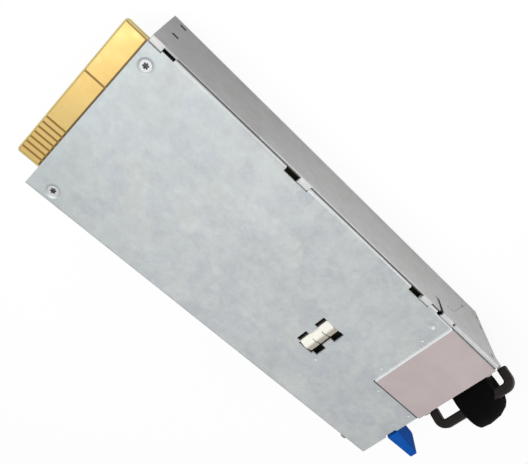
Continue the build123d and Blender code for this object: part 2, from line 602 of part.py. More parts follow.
def arm_sides():
    """Left and right x of each flat arm, on the inner side of the bail's legs."""
    return ((BAIL_X0 + BAIL_BAR - 0.6 - ARM_T, BAIL_X0 + BAIL_BAR - 0.6),
            (BAIL_X1 - BAIL_BAR + 0.6, BAIL_X1 - BAIL_BAR + 0.6 + ARM_T))


def make_handle_bail():
    """Moulded grip and legs of the bail, with a softened square section and a slot for each arm."""
    left, right = BAIL_X0 + BAIL_BAR / 2, BAIL_X1 - BAIL_BAR / 2
    foot = BAIL_REACH - BAIL_LEG
    path = FilletPolyline((left, 0, foot), (left, 0, BAIL_REACH), (right, 0, BAIL_REACH), (right, 0, foot),
                          radius=BAIL_CORNER)
    section = fillet(Rectangle(BAIL_BAR, BAIL_BAR).vertices(), 0.8)
    body = sweep(Plane(path @ 0, z_dir=path % 0) * section, path=path)
    half = ARM_W / 2 + TANG_FIT
    for x0, x1 in arm_sides():
        body -= block(x0 - TANG_FIT, x1 + TANG_FIT, -half, half, foot - 1, foot + TANG + TANG_FIT)
    return to_bail(body)


def make_handle_arms():
    """Two flat steel arms: an eye on the pin at one end, a tang in the bail's leg at the other."""
    arms = []
    for x0, x1 in arm_sides():
        arm = block(x0, x1, -ARM_W / 2, ARM_W / 2, 0, BAIL_REACH - BAIL_LEG + TANG)
        arm += rod_x(x0, x1, 0, 0, EYE_R)
        arm -= rod_x(x0 - 1, x1 + 1, 0, 0, PIN_R + RUN_FIT + 0.02)
        arms.append(to_bail(arm))
    return Compound(children=arms)


def make_handle_pins():
    """Two headed pins through the bracket's ears that the arms turn on."""
    pins = []
    for (x0, x1), ear in zip(arm_sides(), ear_sides()):
        first, last = min(x0, ear) - EAR_GAP, max(x1, ear + SHEET) + EAR_GAP
        pin = rod_x(first, last, PIVOT_Y, PIVOT_Z, PIN_R)
        for head in (first - 0.6, last):
            pin += rod_x(head, head + 0.6, PIVOT_Y, PIVOT_Z, 2.0)
        pins.append(pin)
    return Compound(children=pins)


def make_cord_strap():
    """Hook and loop cord strap, rolled up round the grip: an oblique oval roll, fuller in its middle."""
    rings = []
    for x, y, z, long_r, high_r in STRAP_STATIONS:
        middle = Plane(origin=(BAIL_X0 + x, PIVOT_Y + y, PIVOT_Z + z), x_dir=(0, 1, 0), z_dir=(1, 0, 0))
        rings.append(middle * Ellipse(long_r, high_r))
    roll = loft(rings)
    span = BAIL_BAR + 2 * STRAP_GAP
    x0, x1 = BAIL_X0 + STRAP_STATIONS[0][0], BAIL_X0 + STRAP_STATIONS[-1][0]
    bore = to_bail(block(x0 - 2, x1 + 2, -span / 2, span / 2, BAIL_REACH - span / 2, BAIL_REACH + span / 2))
    return roll - bore


def make_fan_frame():
    """Square fan housing: bored through, waisted between its end plates, with a motor cup on struts."""
    half = FAN_SIZE / 2
    x0, x1, z0, z1 = FAN_X - half, FAN_X + half, FAN_Z - half, FAN_Z + half
    body = block(x0, x1, Y_FRONT, FAN_END, z0, z1)
    body = fillet(body.edges().filter_by(Axis.Y), FAN_CORNER_R)
    waist = block(x0 - 1, x1 + 1, Y_FRONT + FAN_PLATE, FAN_END - FAN_PLATE, z0 - 1, z1 + 1)
    body -= waist - rod_y(FAN_X, Y_FRONT, FAN_END, FAN_Z, half)
    body -= rod_y(FAN_X, Y_FRONT - 1, FAN_END + 1, FAN_Z, FAN_BORE_R)
    for x, z in fan_holes():
        body -= rod_y(x, Y_FRONT - 1, FAN_END + 1, z, SCREW_R)
    cup = rod_y(FAN_X, FAN_END - 2.0, FAN_END, FAN_Z, HUB_R)
    cup += rod_y(FAN_X, FAN_END - 17.0, FAN_END - 1.0, FAN_Z, TUBE_R)
    cup -= rod_y(FAN_X, FAN_END - 18.0, FAN_END - 1.2, FAN_Z, BEARING_R)
    body += cup
    for turn in range(4):
        strut = Pos(0, 0, (HUB_R + FAN_BORE_R) / 2) * Box(1.6, 2.0, FAN_BORE_R - HUB_R + 1.0)
        body += Pos(FAN_X, FAN_END - 1.0, FAN_Z) * Rot(0, 20 + 90 * turn, 0) * strut
    return body


TUBE_R = 3.6
BEARING_R = 2.75
BEARING_W = 2.4


def make_fan_bearings():
    """Two small ball bearings, drawn as rings, at the ends of the fan's bearing tube."""
    made = []
    for y in (FAN_END - 16.9, FAN_END - 4.2):
        ring = rod_y(FAN_X, y, y + BEARING_W, FAN_Z, BEARING_R - 0.01)
        made.append(ring - rod_y(FAN_X, y - 1, y + BEARING_W + 1, FAN_Z, SHAFT_R + RUN_FIT))
    return Compound(children=made)


def make_fan_shaft():
    """Steel shaft pressed into the rotor's cap."""
    return rod_y(FAN_X, FAN_END - 21.0, FAN_END - 1.6, FAN_Z, SHAFT_R)


def make_fan_stator():
    """Laminated stator with four wound poles on the bearing tube."""
    y0, y1 = FAN_END - 14.0, FAN_END - 5.0
    body = rod_y(FAN_X, y0, y1, FAN_Z, 4.6)
    for turn in range(4):
        pole = Pos(0, 0, 5.0) * Box(1.8, y1 - y0, 2.4)
        coil = Pos(0, 0, 5.2) * Box(3.0, y1 - y0 - 1.0, 1.6)
        shoe = Pos(0, 0, 6.5) * Box(5.4, y1 - y0, 0.9)
        body += Pos(FAN_X, (y0 + y1) / 2, FAN_Z) * Rot(0, 45 + 90 * turn, 0) * (pole + coil + shoe)
    return body - rod_y(FAN_X, y0 - 1, y1 + 1, FAN_Z, TUBE_R + 0.02)


def make_fan_magnet():
    """Ring magnet inside the rotor's cap."""
    ring = rod_y(FAN_X, FAN_END - 15.0, FAN_END - 4.0, FAN_Z, 8.3)
    return ring - rod_y(FAN_X, FAN_END - 16.0, FAN_END - 3.0, FAN_Z, 7.6)


def make_fan_rotor():
    """Rotor: a cap over the motor and seven twisted blades."""
    y0, y1 = FAN_END - 21.5, FAN_END - 3.6
    body = rod_y(FAN_X, y0, y1, FAN_Z, HUB_R)
    body -= rod_y(FAN_X, FAN_END - 19.6, y1 + 1, FAN_Z, 8.31)
    body -= rod_y(FAN_X, FAN_END - 21.0, FAN_END - 19.0, FAN_Z, SHAFT_R)
    body = fillet(body.edges().group_by(Axis.Y)[0], 0.8)
    tip_r = FAN_BORE_R - TIP_GAP
    chord = y1 - y0 - 1.5
    for number in range(BLADES):
        stations = []
        for radius, lean in ((HUB_R - 0.4, 40.0), ((HUB_R + tip_r) / 2, 48.0), (tip_r, 54.0)):
            wide = 0.9 * chord * tan(radians(lean)) * 0.55
            half = chord / 2
            profile = Polygon((-wide, -half), (-wide + 1.0, -half), (wide, half), (wide - 1.0, half), align=None)
            stations.append(Plane(origin=(0, 0, radius), x_dir=(1, 0, 0), z_dir=(0, 0, 1)) * profile)
        blade = loft(stations)
        blade = blade & (rod_y(0, -30, 30, 0, tip_r))
        turn = Rot(0, 360.0 / BLADES * number, 0)
        body += Pos(FAN_X, (y0 + y1) / 2 - 0.3, FAN_Z) * turn * blade
    return body


def make_fan_screws():
    """Four pan head screws through the bracket into the fan."""
    made = []
    for x, z in fan_holes():
        screw = rod_y(x, Y_FACE - 1.4, Y_FACE, z, 2.6) + rod_y(x, Y_FACE, Y_FRONT + 3.4, z, SCREW_R - 0.05)
        for size in ((2.6, 0.6), (0.6, 2.6)):
            screw -= Pos(x, Y_FACE - 1.4, z) * Box(size[0], 1.2, size[1])
        made.append(screw)
    return Compound(children=made)


HEADER_X = -6.8


def make_fan_lead():
    """Sleeved fan lead from the motor cup's strut to its plug on the board."""
    return lead([(FAN_X - 13.0, FAN_END + 0.1, 31.5), (FAN_X - 13.0, FAN_END + 5, 31.5),
                 (HEADER_X, BOARD_Y0 - 3.0, 27.5), (HEADER_X, BOARD_Y0 + 0.6, 27.5)], 1.1, 2.2)


def make_fan_header():
    """Four way header on the underside of the board for the fan's plug."""
    body = block(HEADER_X - 3.2, HEADER_X + 3.2, BOARD_Y0 + 0.6, BOARD_Y0 + 5.4, BOARD_UNDER - 5.6, BOARD_UNDER)
    return chamfer(body.edges().filter_by(Axis.Z), 0.5)


def make_main_board():
    """Main board with the card edge as its tongue, bevelled at the tip."""
    body = block(-BOARD_X, BOARD_X, BOARD_Y0, BOARD_Y1, BOARD_UNDER, BOARD_TOP)
    tongue = block(-CARD_X, CARD_X, BOARD_Y1, Y_REAR + CARD_OUT, BOARD_UNDER, BOARD_TOP)
    corners = tongue.edges().filter_by(Axis.Z).group_by(Axis.Y)[-1]
    tongue = fillet(corners, 1.4)
    tip = [edge for edge in tongue.edges().filter_by(Axis.X) if edge.center().Y > Y_REAR + CARD_OUT - 0.1]
    tongue = chamfer(tip, CARD_BEVEL)
    body += tongue
    body -= block(-BOARD_X - 1, LEAF_X + 1.5, BOARD_Y0 - 1, LEAF_ROOT_Y + 5, BOARD_UNDER - 1, BOARD_TOP + 1)
    for x, y in STANDOFFS:
        body -= rod_z(x, y, BOARD_UNDER - 1, BOARD_TOP + 1, SCREW_R + 0.1)
    x0, x1 = WINDOW_X0 + SUPPORT_GAP, WINDOW_X1 - SUPPORT_GAP
    for side in (x0, x1 - 1.4):
        body -= block(side - 0.05, side + 1.45, WINDOW_Y0 + 1.5, WINDOW_Y1 - 1.5, BOARD_UNDER - 1, BOARD_TOP + 1)
    return body


def card_pad(x0, x1):
    """A gold pad on each side of the card edge between two x positions."""
    y1 = Y_REAR + CARD_OUT - PAD_TIP
    return [block(x0, x1, y1 - PAD_LEN, y1, z, z + PAD_T) for z in (BOARD_UNDER - PAD_T, BOARD_TOP)]


def make_power_pads():
    """Two broad power pads on each side of the card edge."""
    made = []
    for number in range(2):
        x0 = CONTACT_X0 + (SIGNALS + number * POWER_SPAN) * CONTACT
        made += card_pad(x0 + PAD_GAP / 2, x0 + POWER_SPAN * CONTACT - PAD_GAP / 2)
    return Compound(children=made)


def make_signal_pads():
    """The narrow signal pads beside the power pads."""
    made = []
    for number in range(SIGNALS):
        x0 = CONTACT_X0 + number * CONTACT
        made += card_pad(x0 + PAD_GAP / 2, x0 + CONTACT - PAD_GAP / 2)
    return Compound(children=made)


CHOKE_X = -19.0
CHOKE_Y = -35.4
CHOKE_Z = 22.0
CHOKE_R = 11.0


def make_emi_choke_core():
    """Ferrite ring of the mains filter choke."""
    ring = rod_z(CHOKE_X, CHOKE_Y, CHOKE_Z - 5, CHOKE_Z + 5, CHOKE_R)
    return ring - rod_z(CHOKE_X, CHOKE_Y, CHOKE_Z - 6, CHOKE_Z + 6, CHOKE_R - 5)


def make_emi_choke_coils():
    """Two windings, each over a third of the ring, on insulating cups."""
    made = []
    shell = rod_z(CHOKE_X, CHOKE_Y, CHOKE_Z - 6.4, CHOKE_Z + 6.4, CHOKE_R + 1.4)
    shell -= rod_z(CHOKE_X, CHOKE_Y, CHOKE_Z - 8, CHOKE_Z + 8, CHOKE_R - 6.4)
    hollow = rod_z(CHOKE_X, CHOKE_Y, CHOKE_Z - 5.1, CHOKE_Z + 5.1, CHOKE_R + 0.1)
    hollow -= rod_z(CHOKE_X, CHOKE_Y, CHOKE_Z - 6, CHOKE_Z + 6, CHOKE_R - 5.1)
    shell -= hollow
    for side in (-1, 1):
        half = shell & block(min(side * 3, side * 20) + CHOKE_X, max(side * 3, side * 20) + CHOKE_X,
                             CHOKE_Y - 20, CHOKE_Y + 20, 0, BOARD_UNDER)
        feet = [rod_z(CHOKE_X + side * 6.0, CHOKE_Y + dy, CHOKE_Z + 6.0, BOARD_UNDER, 0.7) for dy in (-8, 8)]
        for foot in feet:
            half += foot
        made.append(half)
    return Compound(children=made)


def make_x_capacitors():
    """Two boxed film capacitors of the mains filter."""
    made = []
    for y in (-50.6, -39.4):
        case = block(1.8, 16.8, y, y + 8.6, 15.0, BOARD_UNDER)
        made.append(fillet(case.edges().filter_by(Axis.Z), 0.8))
    return Compound(children=made)


def make_y_capacitors():
    """Disc capacitors to earth beside the filter choke."""
    made = []
    for y in (-22.4, -14.0):
        disc = rod_x(-33.4, -30.6, y, 21.6, 3.4)
        made.append(disc + block(-32.4, -31.6, y - 2.6, y + 2.6, 22.0, BOARD_UNDER))
    return Compound(children=made)


def make_fuse():
    """Cartridge fuse in two clips."""
    y, z = -40.4, 25.0
    body = rod_x(18.0, 31.6, y, z, 2.4)
    for x in (18.0, 27.6):
        body += rod_x(x, x + 4.0, y, z, 2.8) + block(x + 0.6, x + 3.4, y - 1.4, y + 1.4, z, BOARD_UNDER)
    return body


def make_relay():
    """Inrush relay, a small sealed box."""
    body = block(18.4, 31.4, -36.4, -27.2, 15.4, BOARD_UNDER)
    return fillet(body.edges().filter_by(Axis.Z), 1.0)


def make_bridge_rectifier():
    """Bridge rectifier standing against its cooling plate."""
    body = block(-28.0, -7.0, -19.6, -15.8, 10.4, 26.4)
    for number in range(4):
        x = -25.0 + 5.0 * number
        body += block(x - 0.6, x + 0.6, -18.1, -17.3, 26.0, BOARD_UNDER)
    body -= rod_y(-17.5, -21, -15, 13.4, 1.6)
    return body + block(-28.6, -6.4, -15.8, -13.8, 4.0, BOARD_UNDER)


def make_pfc_choke():
    """Boost choke: a square ferrite core round a visible winding."""
    x, y = -11.0, 2.4
    core = block(x - 12, x + 12, y - 12.6, y + 12.6, 6.6, BOARD_UNDER)
    core -= block(x - 9.4, x + 9.4, y - 14, y + 14, 10.0, 26.6)
    winding = rod_z(x, y, 10.4, 26.2, 9.0)
    post = rod_z(x, y, 9.8, 26.8, 5.0)
    return core + winding + post


def make_bulk_capacitor():
    """Large electrolytic capacitor lying along the board, with a rolled groove near its seal."""
    x, z, r, y0, y1 = 17.4, 15.6, 12.8, -25.2, 22.0
    half = r - 0.9
    outline = Polyline((0, y0), (r - 1, y0), (r, y0 + 1), (r, y1 - 5.6), (half, y1 - 4.8), (half, y1 - 4.0),
                       (r, y1 - 3.2), (r, y1 - 0.8), (r - 0.8, y1), (0, y1), (0, y0))
    body = Pos(x, 0, z) * revolve(make_face(outline), Axis.Y)
    for dx in (-5, 5):
        body += rod_z(x + dx, y1 + 1.4, z, BOARD_UNDER, 0.8) + rod_y(x + dx, y1 - 1, y1 + 2.2, z, 0.8)
    return body


SINK_X = -34.0


def make_primary_heatsink():
    """Extruded cooling bar with fins towards the side wall."""
    y0, y1 = 24.0, 74.0
    body = block(SINK_X + 3.4, SINK_X + 5.6, y0, y1, 4.0, BOARD_UNDER - 2.0)
    for number in range(6):
        z = 4.6 + 4.4 * number
        body += block(SINK_X, SINK_X + 3.5, y0, y1, z, z + 1.2)
    return body + block(SINK_X + 3.4, SINK_X + 5.6, y0 + 20, y0 + 24, BOARD_UNDER - 2.1, BOARD_UNDER)


TRANSISTOR_Y = (31.0, 42.6, 54.2, 65.8)


def make_power_transistors():
    """Four power transistors clamped to the cooling bar."""
    made = []
    face = SINK_X + 5.6
    for y in TRANSISTOR_Y:
        body = block(face, face + 1.3, y - 5.0, y + 5.0, 8.0, 24.0)
        body += block(face + 1.3, face + 4.5, y - 5.0, y + 5.0, 14.6, 24.0)
        body -= rod_x(face - 1, face + 2, y, 11.0, 1.8)
        for step in (-2.5, 0, 2.5):
            body += block(face + 2.2, face + 2.8, y + step - 0.4, y + step + 0.4, 23.8, BOARD_UNDER)
        made.append(body)
    return Compound(children=made)


def make_transistor_screws():
    """Screws that clamp the transistors."""
    face = SINK_X + 5.6 + 1.3
    return Compound(children=[rod_x(face, face + 1.4, y, 11.0, 2.4) for y in TRANSISTOR_Y])


TRAFO_X = -6.0
TRAFO_Y = 40.0


def make_transformer_core():
    """Main transformer's ferrite core: a frame round the coil."""
    core = block(TRAFO_X - 14, TRAFO_X + 14, TRAFO_Y - 11.5, TRAFO_Y + 11.5, 5.4, 29.0)
    core -= block(TRAFO_X - 11, TRAFO_X + 11, TRAFO_Y - 13, TRAFO_Y + 13, 9.0, 25.4)
    core += rod_z(TRAFO_X, TRAFO_Y, 8.8, 25.6, 5.6)
    return fillet(core.edges().filter_by(Axis.Z).group_by(Axis.X)[0], 1.5)


def make_transformer_coil():
    """Taped windings on a bobbin with end cheeks and soldered pins."""
    coil = rod_z(TRAFO_X, TRAFO_Y, 10.4, 24.0, 10.4)
    coil += rod_z(TRAFO_X, TRAFO_Y, 9.2, 10.4, 10.8) + rod_z(TRAFO_X, TRAFO_Y, 24.0, 25.2, 10.8)
    coil -= rod_z(TRAFO_X, TRAFO_Y, 8, 27, 5.8)
    return coil


def make_resonant_choke():
    """Resonant choke, a small wound ring standing on the board."""
    x, y, z = 17.0, 36.0, 21.0
    ring = rod_y(x, y - 4, y + 4, z, 8.6) - rod_y(x, y - 5, y + 5, z, 3.6)
    ring = fillet(ring.edges(), 1.2)
    return ring + block(x - 3, x + 3, y - 3, y + 3, z + 7.6, BOARD_UNDER)


def make_secondary_heatsink():
    """Finned cooling block over the output rectifiers."""
    y0, y1 = 56.0, 66.0
    body = block(-22.0, 24.0, y0, y1, 24.0, 27.4)
    for number in range(12):
        x = -21.4 + 4.0 * number
        body += block(x, x + 1.0, y0, y1, 8.0, 24.1)
    return body + block(-20, 22, y0 + 2, y1 - 2, 27.3, BOARD_UNDER)


def make_output_capacitors():
    """Rows of polymer capacitors at the output."""
    made = []
    for y in (71.4, 80.6):
        for number in range(6):
            x = -19.2 + 8.8 * number
            can = rod_z(x, y, 17.0, BOARD_UNDER - 1.0, 4.0)
            can = fillet(can.edges().group_by(Axis.Z)[0], 0.6)
            made.append(can + block(x - 4.1, x + 4.1, y - 4.1, y + 4.1, BOARD_UNDER - 1.0, BOARD_UNDER))
    return Compound(children=made)


def make_output_busbars():
    """Two copper bars on the board's upper face that feed the power pads."""
    made = []
    for x0, x1 in ((-8.0, 9.0), (11.0, 23.0)):
        bar = block(x0, x1, 56.0, 88.0, BOARD_TOP, BOARD_TOP + 1.5)
        made.append(chamfer(bar.edges().filter_by(Axis.Z), 1.0))
    return Compound(children=made)


CONTROL_X = 30.0


def make_control_card():
    """Upright control card soldered into the main board."""
    return block(CONTROL_X, CONTROL_X + 1.2, 33.0, 80.0, 8.0, BOARD_UNDER)


def make_control_chips():
    """Control chips on the upright card."""
    made = []
    for y, z, size in ((41.0, 18.0, 8.0), (55.0, 19.0, 10.0), (63.5, 11.0, 5.0), (48.0, 11.6, 4.0)):
        chip = block(CONTROL_X - 1.4, CONTROL_X, y - size / 2, y + size / 2, z - size / 2, z + size / 2)
        made.append(chamfer(chip.faces().sort_by(Axis.X)[0].edges(), 0.3))
    return Compound(children=made)


NODES = {
    "chassis": make_chassis, "cover": make_cover, "fan_bracket": make_fan_bracket,
    "bracket_rivets": make_bracket_rivets, "cover_screws": make_cover_screws,
    "board_standoffs": make_board_standoffs, "board_screws": make_board_screws,
    "cover_insulator": make_cover_insulator, "floor_liner": make_floor_liner,
    "board_support": make_board_support, "ac_inlet": make_ac_inlet, "inlet_pins": make_inlet_pins,
    "inlet_leads": make_inlet_leads, "light_pipe": make_light_pipe, "status_led": make_status_led,
    "release_tab": make_release_tab, "latch_leaf": make_latch_leaf, "latch_rivets": make_latch_rivets,
    "handle_bail": make_handle_bail, "handle_arms": make_handle_arms, "handle_pins": make_handle_pins,
    "cord_strap": make_cord_strap,
    "fan_frame": make_fan_frame, "fan_bearings": make_fan_bearings, "fan_shaft": make_fan_shaft,
    "fan_stator": make_fan_stator, "fan_magnet": make_fan_magnet, "fan_rotor": make_fan_rotor,
    "fan_screws": make_fan_screws, "fan_lead": make_fan_lead, "fan_header": make_fan_header,
    "main_board": make_main_board, "power_pads": make_power_pads, "signal_pads": make_signal_pads,
    "emi_choke_core": make_emi_choke_core, "emi_choke_coils": make_emi_choke_coils,
    "x_capacitors": make_x_capacitors, "y_capacitors": make_y_capacitors, "fuse": make_fuse,
    "relay": make_relay, "bridge_rectifier": make_bridge_rectifier, "pfc_choke": make_pfc_choke,
    "bulk_capacitor": make_bulk_capacitor, "primary_heatsink": make_primary_heatsink,
    "power_transistors": make_power_transistors, "transistor_screws": make_transistor_screws,
    "transformer_core": make_transformer_core, "transformer_coil": make_transformer_coil,
    "resonant_choke": make_resonant_choke, "secondary_heatsink": make_secondary_heatsink,
    "output_capacitors": make_output_capacitors, "output_busbars": make_output_busbars,
    "control_card": make_control_card, "control_chips": make_control_chips,
}

os.makedirs("parts", exist_ok=True)
for node, make in NODES.items():
    shape = make()
    export_step(shape, f"parts/{node}.step")
    print(node, len(shape.solids()), "solids", round(sum(solid.volume for solid in shape.solids()), 1), "mm3")
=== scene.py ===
"""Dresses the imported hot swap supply: finishes for every sheet, moulding, board and inner part,
the rolled cord strap on the grip, a plain studio and the photograph's camera.  Metres, row frame."""
from __future__ import annotations

import logging
import math
from dataclasses import dataclass
from enum import Enum
from typing import Iterable, Sequence

import bpy
from mathutils import Matrix, Vector


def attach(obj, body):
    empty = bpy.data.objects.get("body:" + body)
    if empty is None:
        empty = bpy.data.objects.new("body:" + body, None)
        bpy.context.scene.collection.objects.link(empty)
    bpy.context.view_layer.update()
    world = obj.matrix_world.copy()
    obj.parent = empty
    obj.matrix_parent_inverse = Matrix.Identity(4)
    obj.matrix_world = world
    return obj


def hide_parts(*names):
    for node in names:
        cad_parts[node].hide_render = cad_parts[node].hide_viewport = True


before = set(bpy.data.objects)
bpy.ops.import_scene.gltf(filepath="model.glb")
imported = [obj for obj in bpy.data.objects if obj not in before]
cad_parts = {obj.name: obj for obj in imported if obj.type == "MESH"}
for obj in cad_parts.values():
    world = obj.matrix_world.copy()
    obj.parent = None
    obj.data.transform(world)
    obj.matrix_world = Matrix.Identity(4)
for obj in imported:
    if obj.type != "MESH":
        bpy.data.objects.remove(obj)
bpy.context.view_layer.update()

logging.basicConfig(level=logging.INFO, format="%(message)s")
LOG = logging.getLogger("supply")
MM = 0.001
PER_METRE = 1000.0                     # a size in millimetres divides this to give a texture's scale
MIX_A, MIX_B, MIX_RESULT = 6, 7, 2     # the mix node's sockets for colours

Colour = tuple[float, float, float]
Point = tuple[float, float, float]
Span = tuple[float, float]
Station = tuple[float, float, float, float, float]


def shade(red: int, green: int, blue: int) -> Colour:
    """Linear colour of a screen colour.

    Args:
        red: Red from 0 to 255.
        green: Green from 0 to 255.
        blue: Blue from 0 to 255.

    Returns:
        The three linear channels.
    """
    def linear(value: int) -> float:
        """Linear value of one screen channel."""
        c = value / 255
        return c / 12.92 if c <= 0.04045 else ((c + 0.055) / 1.055) ** 2.4
    return linear(red), linear(green), linear(blue)


class Axis3(Enum):
    """Direction that a grain or lay runs in, as the texture's scale along each axis."""
    X = (0.04, 1.0, 1.0)
    Y = (1.0, 0.04, 1.0)
    Z = (1.0, 1.0, 0.04)
    NONE = (1.0, 1.0, 1.0)


@dataclass(frozen=True)
class Trace:
    """A painted line, patch or shade laid into a colour: a painted highlight where a sheared edge or bend
    catches light, or painted shade in a gap, slot or recess or across a face.  It fills the box between the
    given coordinates in millimetres and fades outside it over soft.  An axis left out is open."""
    colour: Colour
    x: Span | None = None
    y: Span | None = None
    z: Span | None = None
    amount: float = 0.85
    soft: float = 0.12


class Graph:
    """Builds the node tree of one material, sizes in millimetres."""

    def __init__(self, name: str) -> None:
        """Starts a material whose patterns are fixed to the row frame.

        Args:
            name: Name of the material.
        """
        self.material = bpy.data.materials.new(name)
        self.material.use_nodes = True
        self.tree = self.material.node_tree
        self.shader = self.tree.nodes["Principled BSDF"]
        self.place = self.add("ShaderNodeTexCoord").outputs["Object"]

    def add(self, kind: str) -> bpy.types.Node:
        """A new node of that kind."""
        return self.tree.nodes.new(kind)

    def link(self, start: bpy.types.NodeSocket, end: bpy.types.NodeSocket) -> None:
        """Joins an output to an input."""
        self.tree.links.new(start, end)

    def feed(self, value: object, socket: bpy.types.NodeSocket) -> None:
        """Sets an input from a number, a colour or an output.

        Args:
            value: Output socket, number or colour.
            socket: Input that takes it.
        """
        if isinstance(value, bpy.types.NodeSocket):
            self.link(value, socket)
        elif isinstance(value, tuple) and len(value) == 3 and socket.type == "RGBA":
            socket.default_value = (*value, 1.0)
        else:
            socket.default_value = value

    def stretch(self, lay: Axis3, turn: float = 0.0) -> bpy.types.NodeSocket:
        """Places stretched along one axis, for grain that runs that way.

        Args:
            lay: Axis that the grain runs along.
            turn: Turn about Z in degrees before stretching.

        Returns:
            The vector output.
        """
        node = self.add("ShaderNodeMapping")
        node.vector_type = "POINT"
        self.link(self.place, node.inputs["Vector"])
        node.inputs["Rotation"].default_value = (0.0, 0.0, math.radians(turn))
        node.inputs["Scale"].default_value = lay.value
        return node.outputs["Vector"]

    def noise(self, size: float, detail: float = 3.0, rough: float = 0.55, warp: float = 0.0,
              at: bpy.types.NodeSocket | None = None, colour: bool = False) -> bpy.types.NodeSocket:
        """Cloudy noise.

        Args:
            size: Size of a cloud in millimetres.
            detail: Octaves.
            rough: Strength of the finer octaves.
            warp: Distortion.
            at: Place vector, or None for the row frame's own.
            colour: Gives the colour output instead of the factor.

        Returns:
            The noise's output.
        """
        node = self.add("ShaderNodeTexNoise")
        self.link(at or self.place, node.inputs["Vector"])
        node.inputs["Scale"].default_value = PER_METRE / size
        node.inputs["Detail"].default_value = detail
        node.inputs["Roughness"].default_value = rough
        node.inputs["Distortion"].default_value = warp
        return node.outputs["Color" if colour else "Fac"]

    def cells(self, size: float, out: str = "Color",
              at: bpy.types.NodeSocket | None = None) -> bpy.types.NodeSocket:
        """Crystal cells.

        Args:
            size: Size of a cell in millimetres.
            out: Output name, Color or Distance.
            at: Place vector, or None for the row frame's own.

        Returns:
            The chosen output.
        """
        node = self.add("ShaderNodeTexVoronoi")
        self.link(at or self.place, node.inputs["Vector"])
        node.inputs["Scale"].default_value = PER_METRE / size
        return node.outputs[out]

    def stripes(self, pitch: float, axis: str, warp: float) -> bpy.types.NodeSocket:
        """Even stripes across one axis.

        Args:
            pitch: Distance between stripes in millimetres.
            axis: X, Y or Z.
            warp: Distortion.

        Returns:
            The factor output.
        """
        node = self.add("ShaderNodeTexWave")
        node.wave_type = "BANDS"
        node.bands_direction = axis
        self.link(self.place, node.inputs["Vector"])
        node.inputs["Scale"].default_value = math.pi / 10 / (pitch * MM)
        node.inputs["Distortion"].default_value = warp
        node.inputs["Detail"].default_value = 1.0
        node.inputs["Detail Scale"].default_value = 2.0
        return node.outputs["Fac"]

    def span(self, fac: bpy.types.NodeSocket, low: float, high: float, first: float = 0.3,
             last: float = 0.7) -> bpy.types.NodeSocket:
        """A factor stretched from the noise's usual reach to a range of values.

        Args:
            fac: Factor to stretch.
            low: Result at first.
            high: Result at last.
            first: Factor that gives low.
            last: Factor that gives high.

        Returns:
            The stretched value.
        """
        node = self.add("ShaderNodeMapRange")
        self.link(fac, node.inputs["Value"])
        node.inputs["From Min"].default_value = first
        node.inputs["From Max"].default_value = last
        node.inputs["To Min"].default_value = low
        node.inputs["To Max"].default_value = high
        return node.outputs["Result"]

    def calc(self, a: object, b: object, mode: str = "ADD") -> bpy.types.NodeSocket:
        """Arithmetic on two values.

        Args:
            a: First value or output.
            b: Second value or output.
            mode: Operation.

        Returns:
            The result.
        """
        node = self.add("ShaderNodeMath")
        node.operation = mode
        self.feed(a, node.inputs[0])
        self.feed(b, node.inputs[1])
        return node.outputs["Value"]

    def mix(self, fac: object, a: object, b: object) -> bpy.types.NodeSocket:
        """Mixes two colours.

        Args:
            fac: Factor, number or output.
            a: First colour or output.
            b: Second colour or output.

        Returns:
            The mixed colour.
        """
        node = self.add("ShaderNodeMix")
        node.data_type = "RGBA"
        self.feed(fac, node.inputs[0])
        self.feed(a, node.inputs[MIX_A])
        self.feed(b, node.inputs[MIX_B])
        return node.outputs[MIX_RESULT]

    def within(self, axis: str, reach: Span, soft: float) -> bpy.types.NodeSocket:
        """One between two coordinates along an axis, and zero elsewhere.

        Args:
            axis: X, Y or Z.
            reach: The two coordinates in millimetres.
            soft: Width over which it fades, in millimetres.

        Returns:
            The factor output.
        """
        split = self.add("ShaderNodeSeparateXYZ")
        self.link(self.place, split.inputs[0])
        along = split.outputs[axis]
        rise = self.span(along, 0.0, 1.0, (reach[0] - soft) * MM, reach[0] * MM)
        fall = self.span(along, 1.0, 0.0, reach[1] * MM, (reach[1] + soft) * MM)
        return self.calc(rise, fall, "MULTIPLY")

    def traced(self, colour: object, traces: Iterable[Trace]) -> object:
        """A colour with its traces laid over it.

        Args:
            colour: Colour or output underneath.
            traces: Lines and patches, the last on top.

        Returns:
            The colour output.
        """
        for trace in traces:
            factor: object = trace.amount
            for axis, reach in (("X", trace.x), ("Y", trace.y), ("Z", trace.z)):
                if reach is not None:
                    factor = self.calc(self.within(axis, reach, trace.soft), factor, "MULTIPLY")
            colour = self.mix(factor, colour, trace.colour)
        return colour

    def bump(self, height: bpy.types.NodeSocket, depth: float, strength: float = 1.0,
             under: bpy.types.NodeSocket | None = None) -> bpy.types.NodeSocket:
        """Relief from a height.

        Args:
            height: Height output.
            depth: Depth of the relief in millimetres.
            strength: Strength of the relief.
            under: Normal of a coarser relief below this one.

        Returns:
            The normal.
        """
        node = self.add("ShaderNodeBump")
        self.link(height, node.inputs["Height"])
        node.inputs["Distance"].default_value = depth * MM
        node.inputs["Strength"].default_value = strength
        if under is not None:
            self.link(under, node.inputs["Normal"])
        return node.outputs["Normal"]

    def finish(self, colour: object, rough: object, metal: float, normal: bpy.types.NodeSocket,
               **fixed: float) -> bpy.types.Material:
        """Connects the shader and gives the material.

        Args:
            colour: Base colour, a colour or an output.
            rough: Roughness, a number or an output.
            metal: Metallic value.
            normal: Normal output.
            **fixed: Values for the shader's own sockets, with _ for a space.

        Returns:
            The material.
        """
        self.feed(colour, self.shader.inputs["Base Color"])
        self.feed(rough, self.shader.inputs["Roughness"])
        self.shader.inputs["Metallic"].default_value = metal
        self.link(normal, self.shader.inputs["Normal"])
        for key, value in fixed.items():
            self.shader.inputs[key.replace("_", " ")].default_value = value
        return self.material


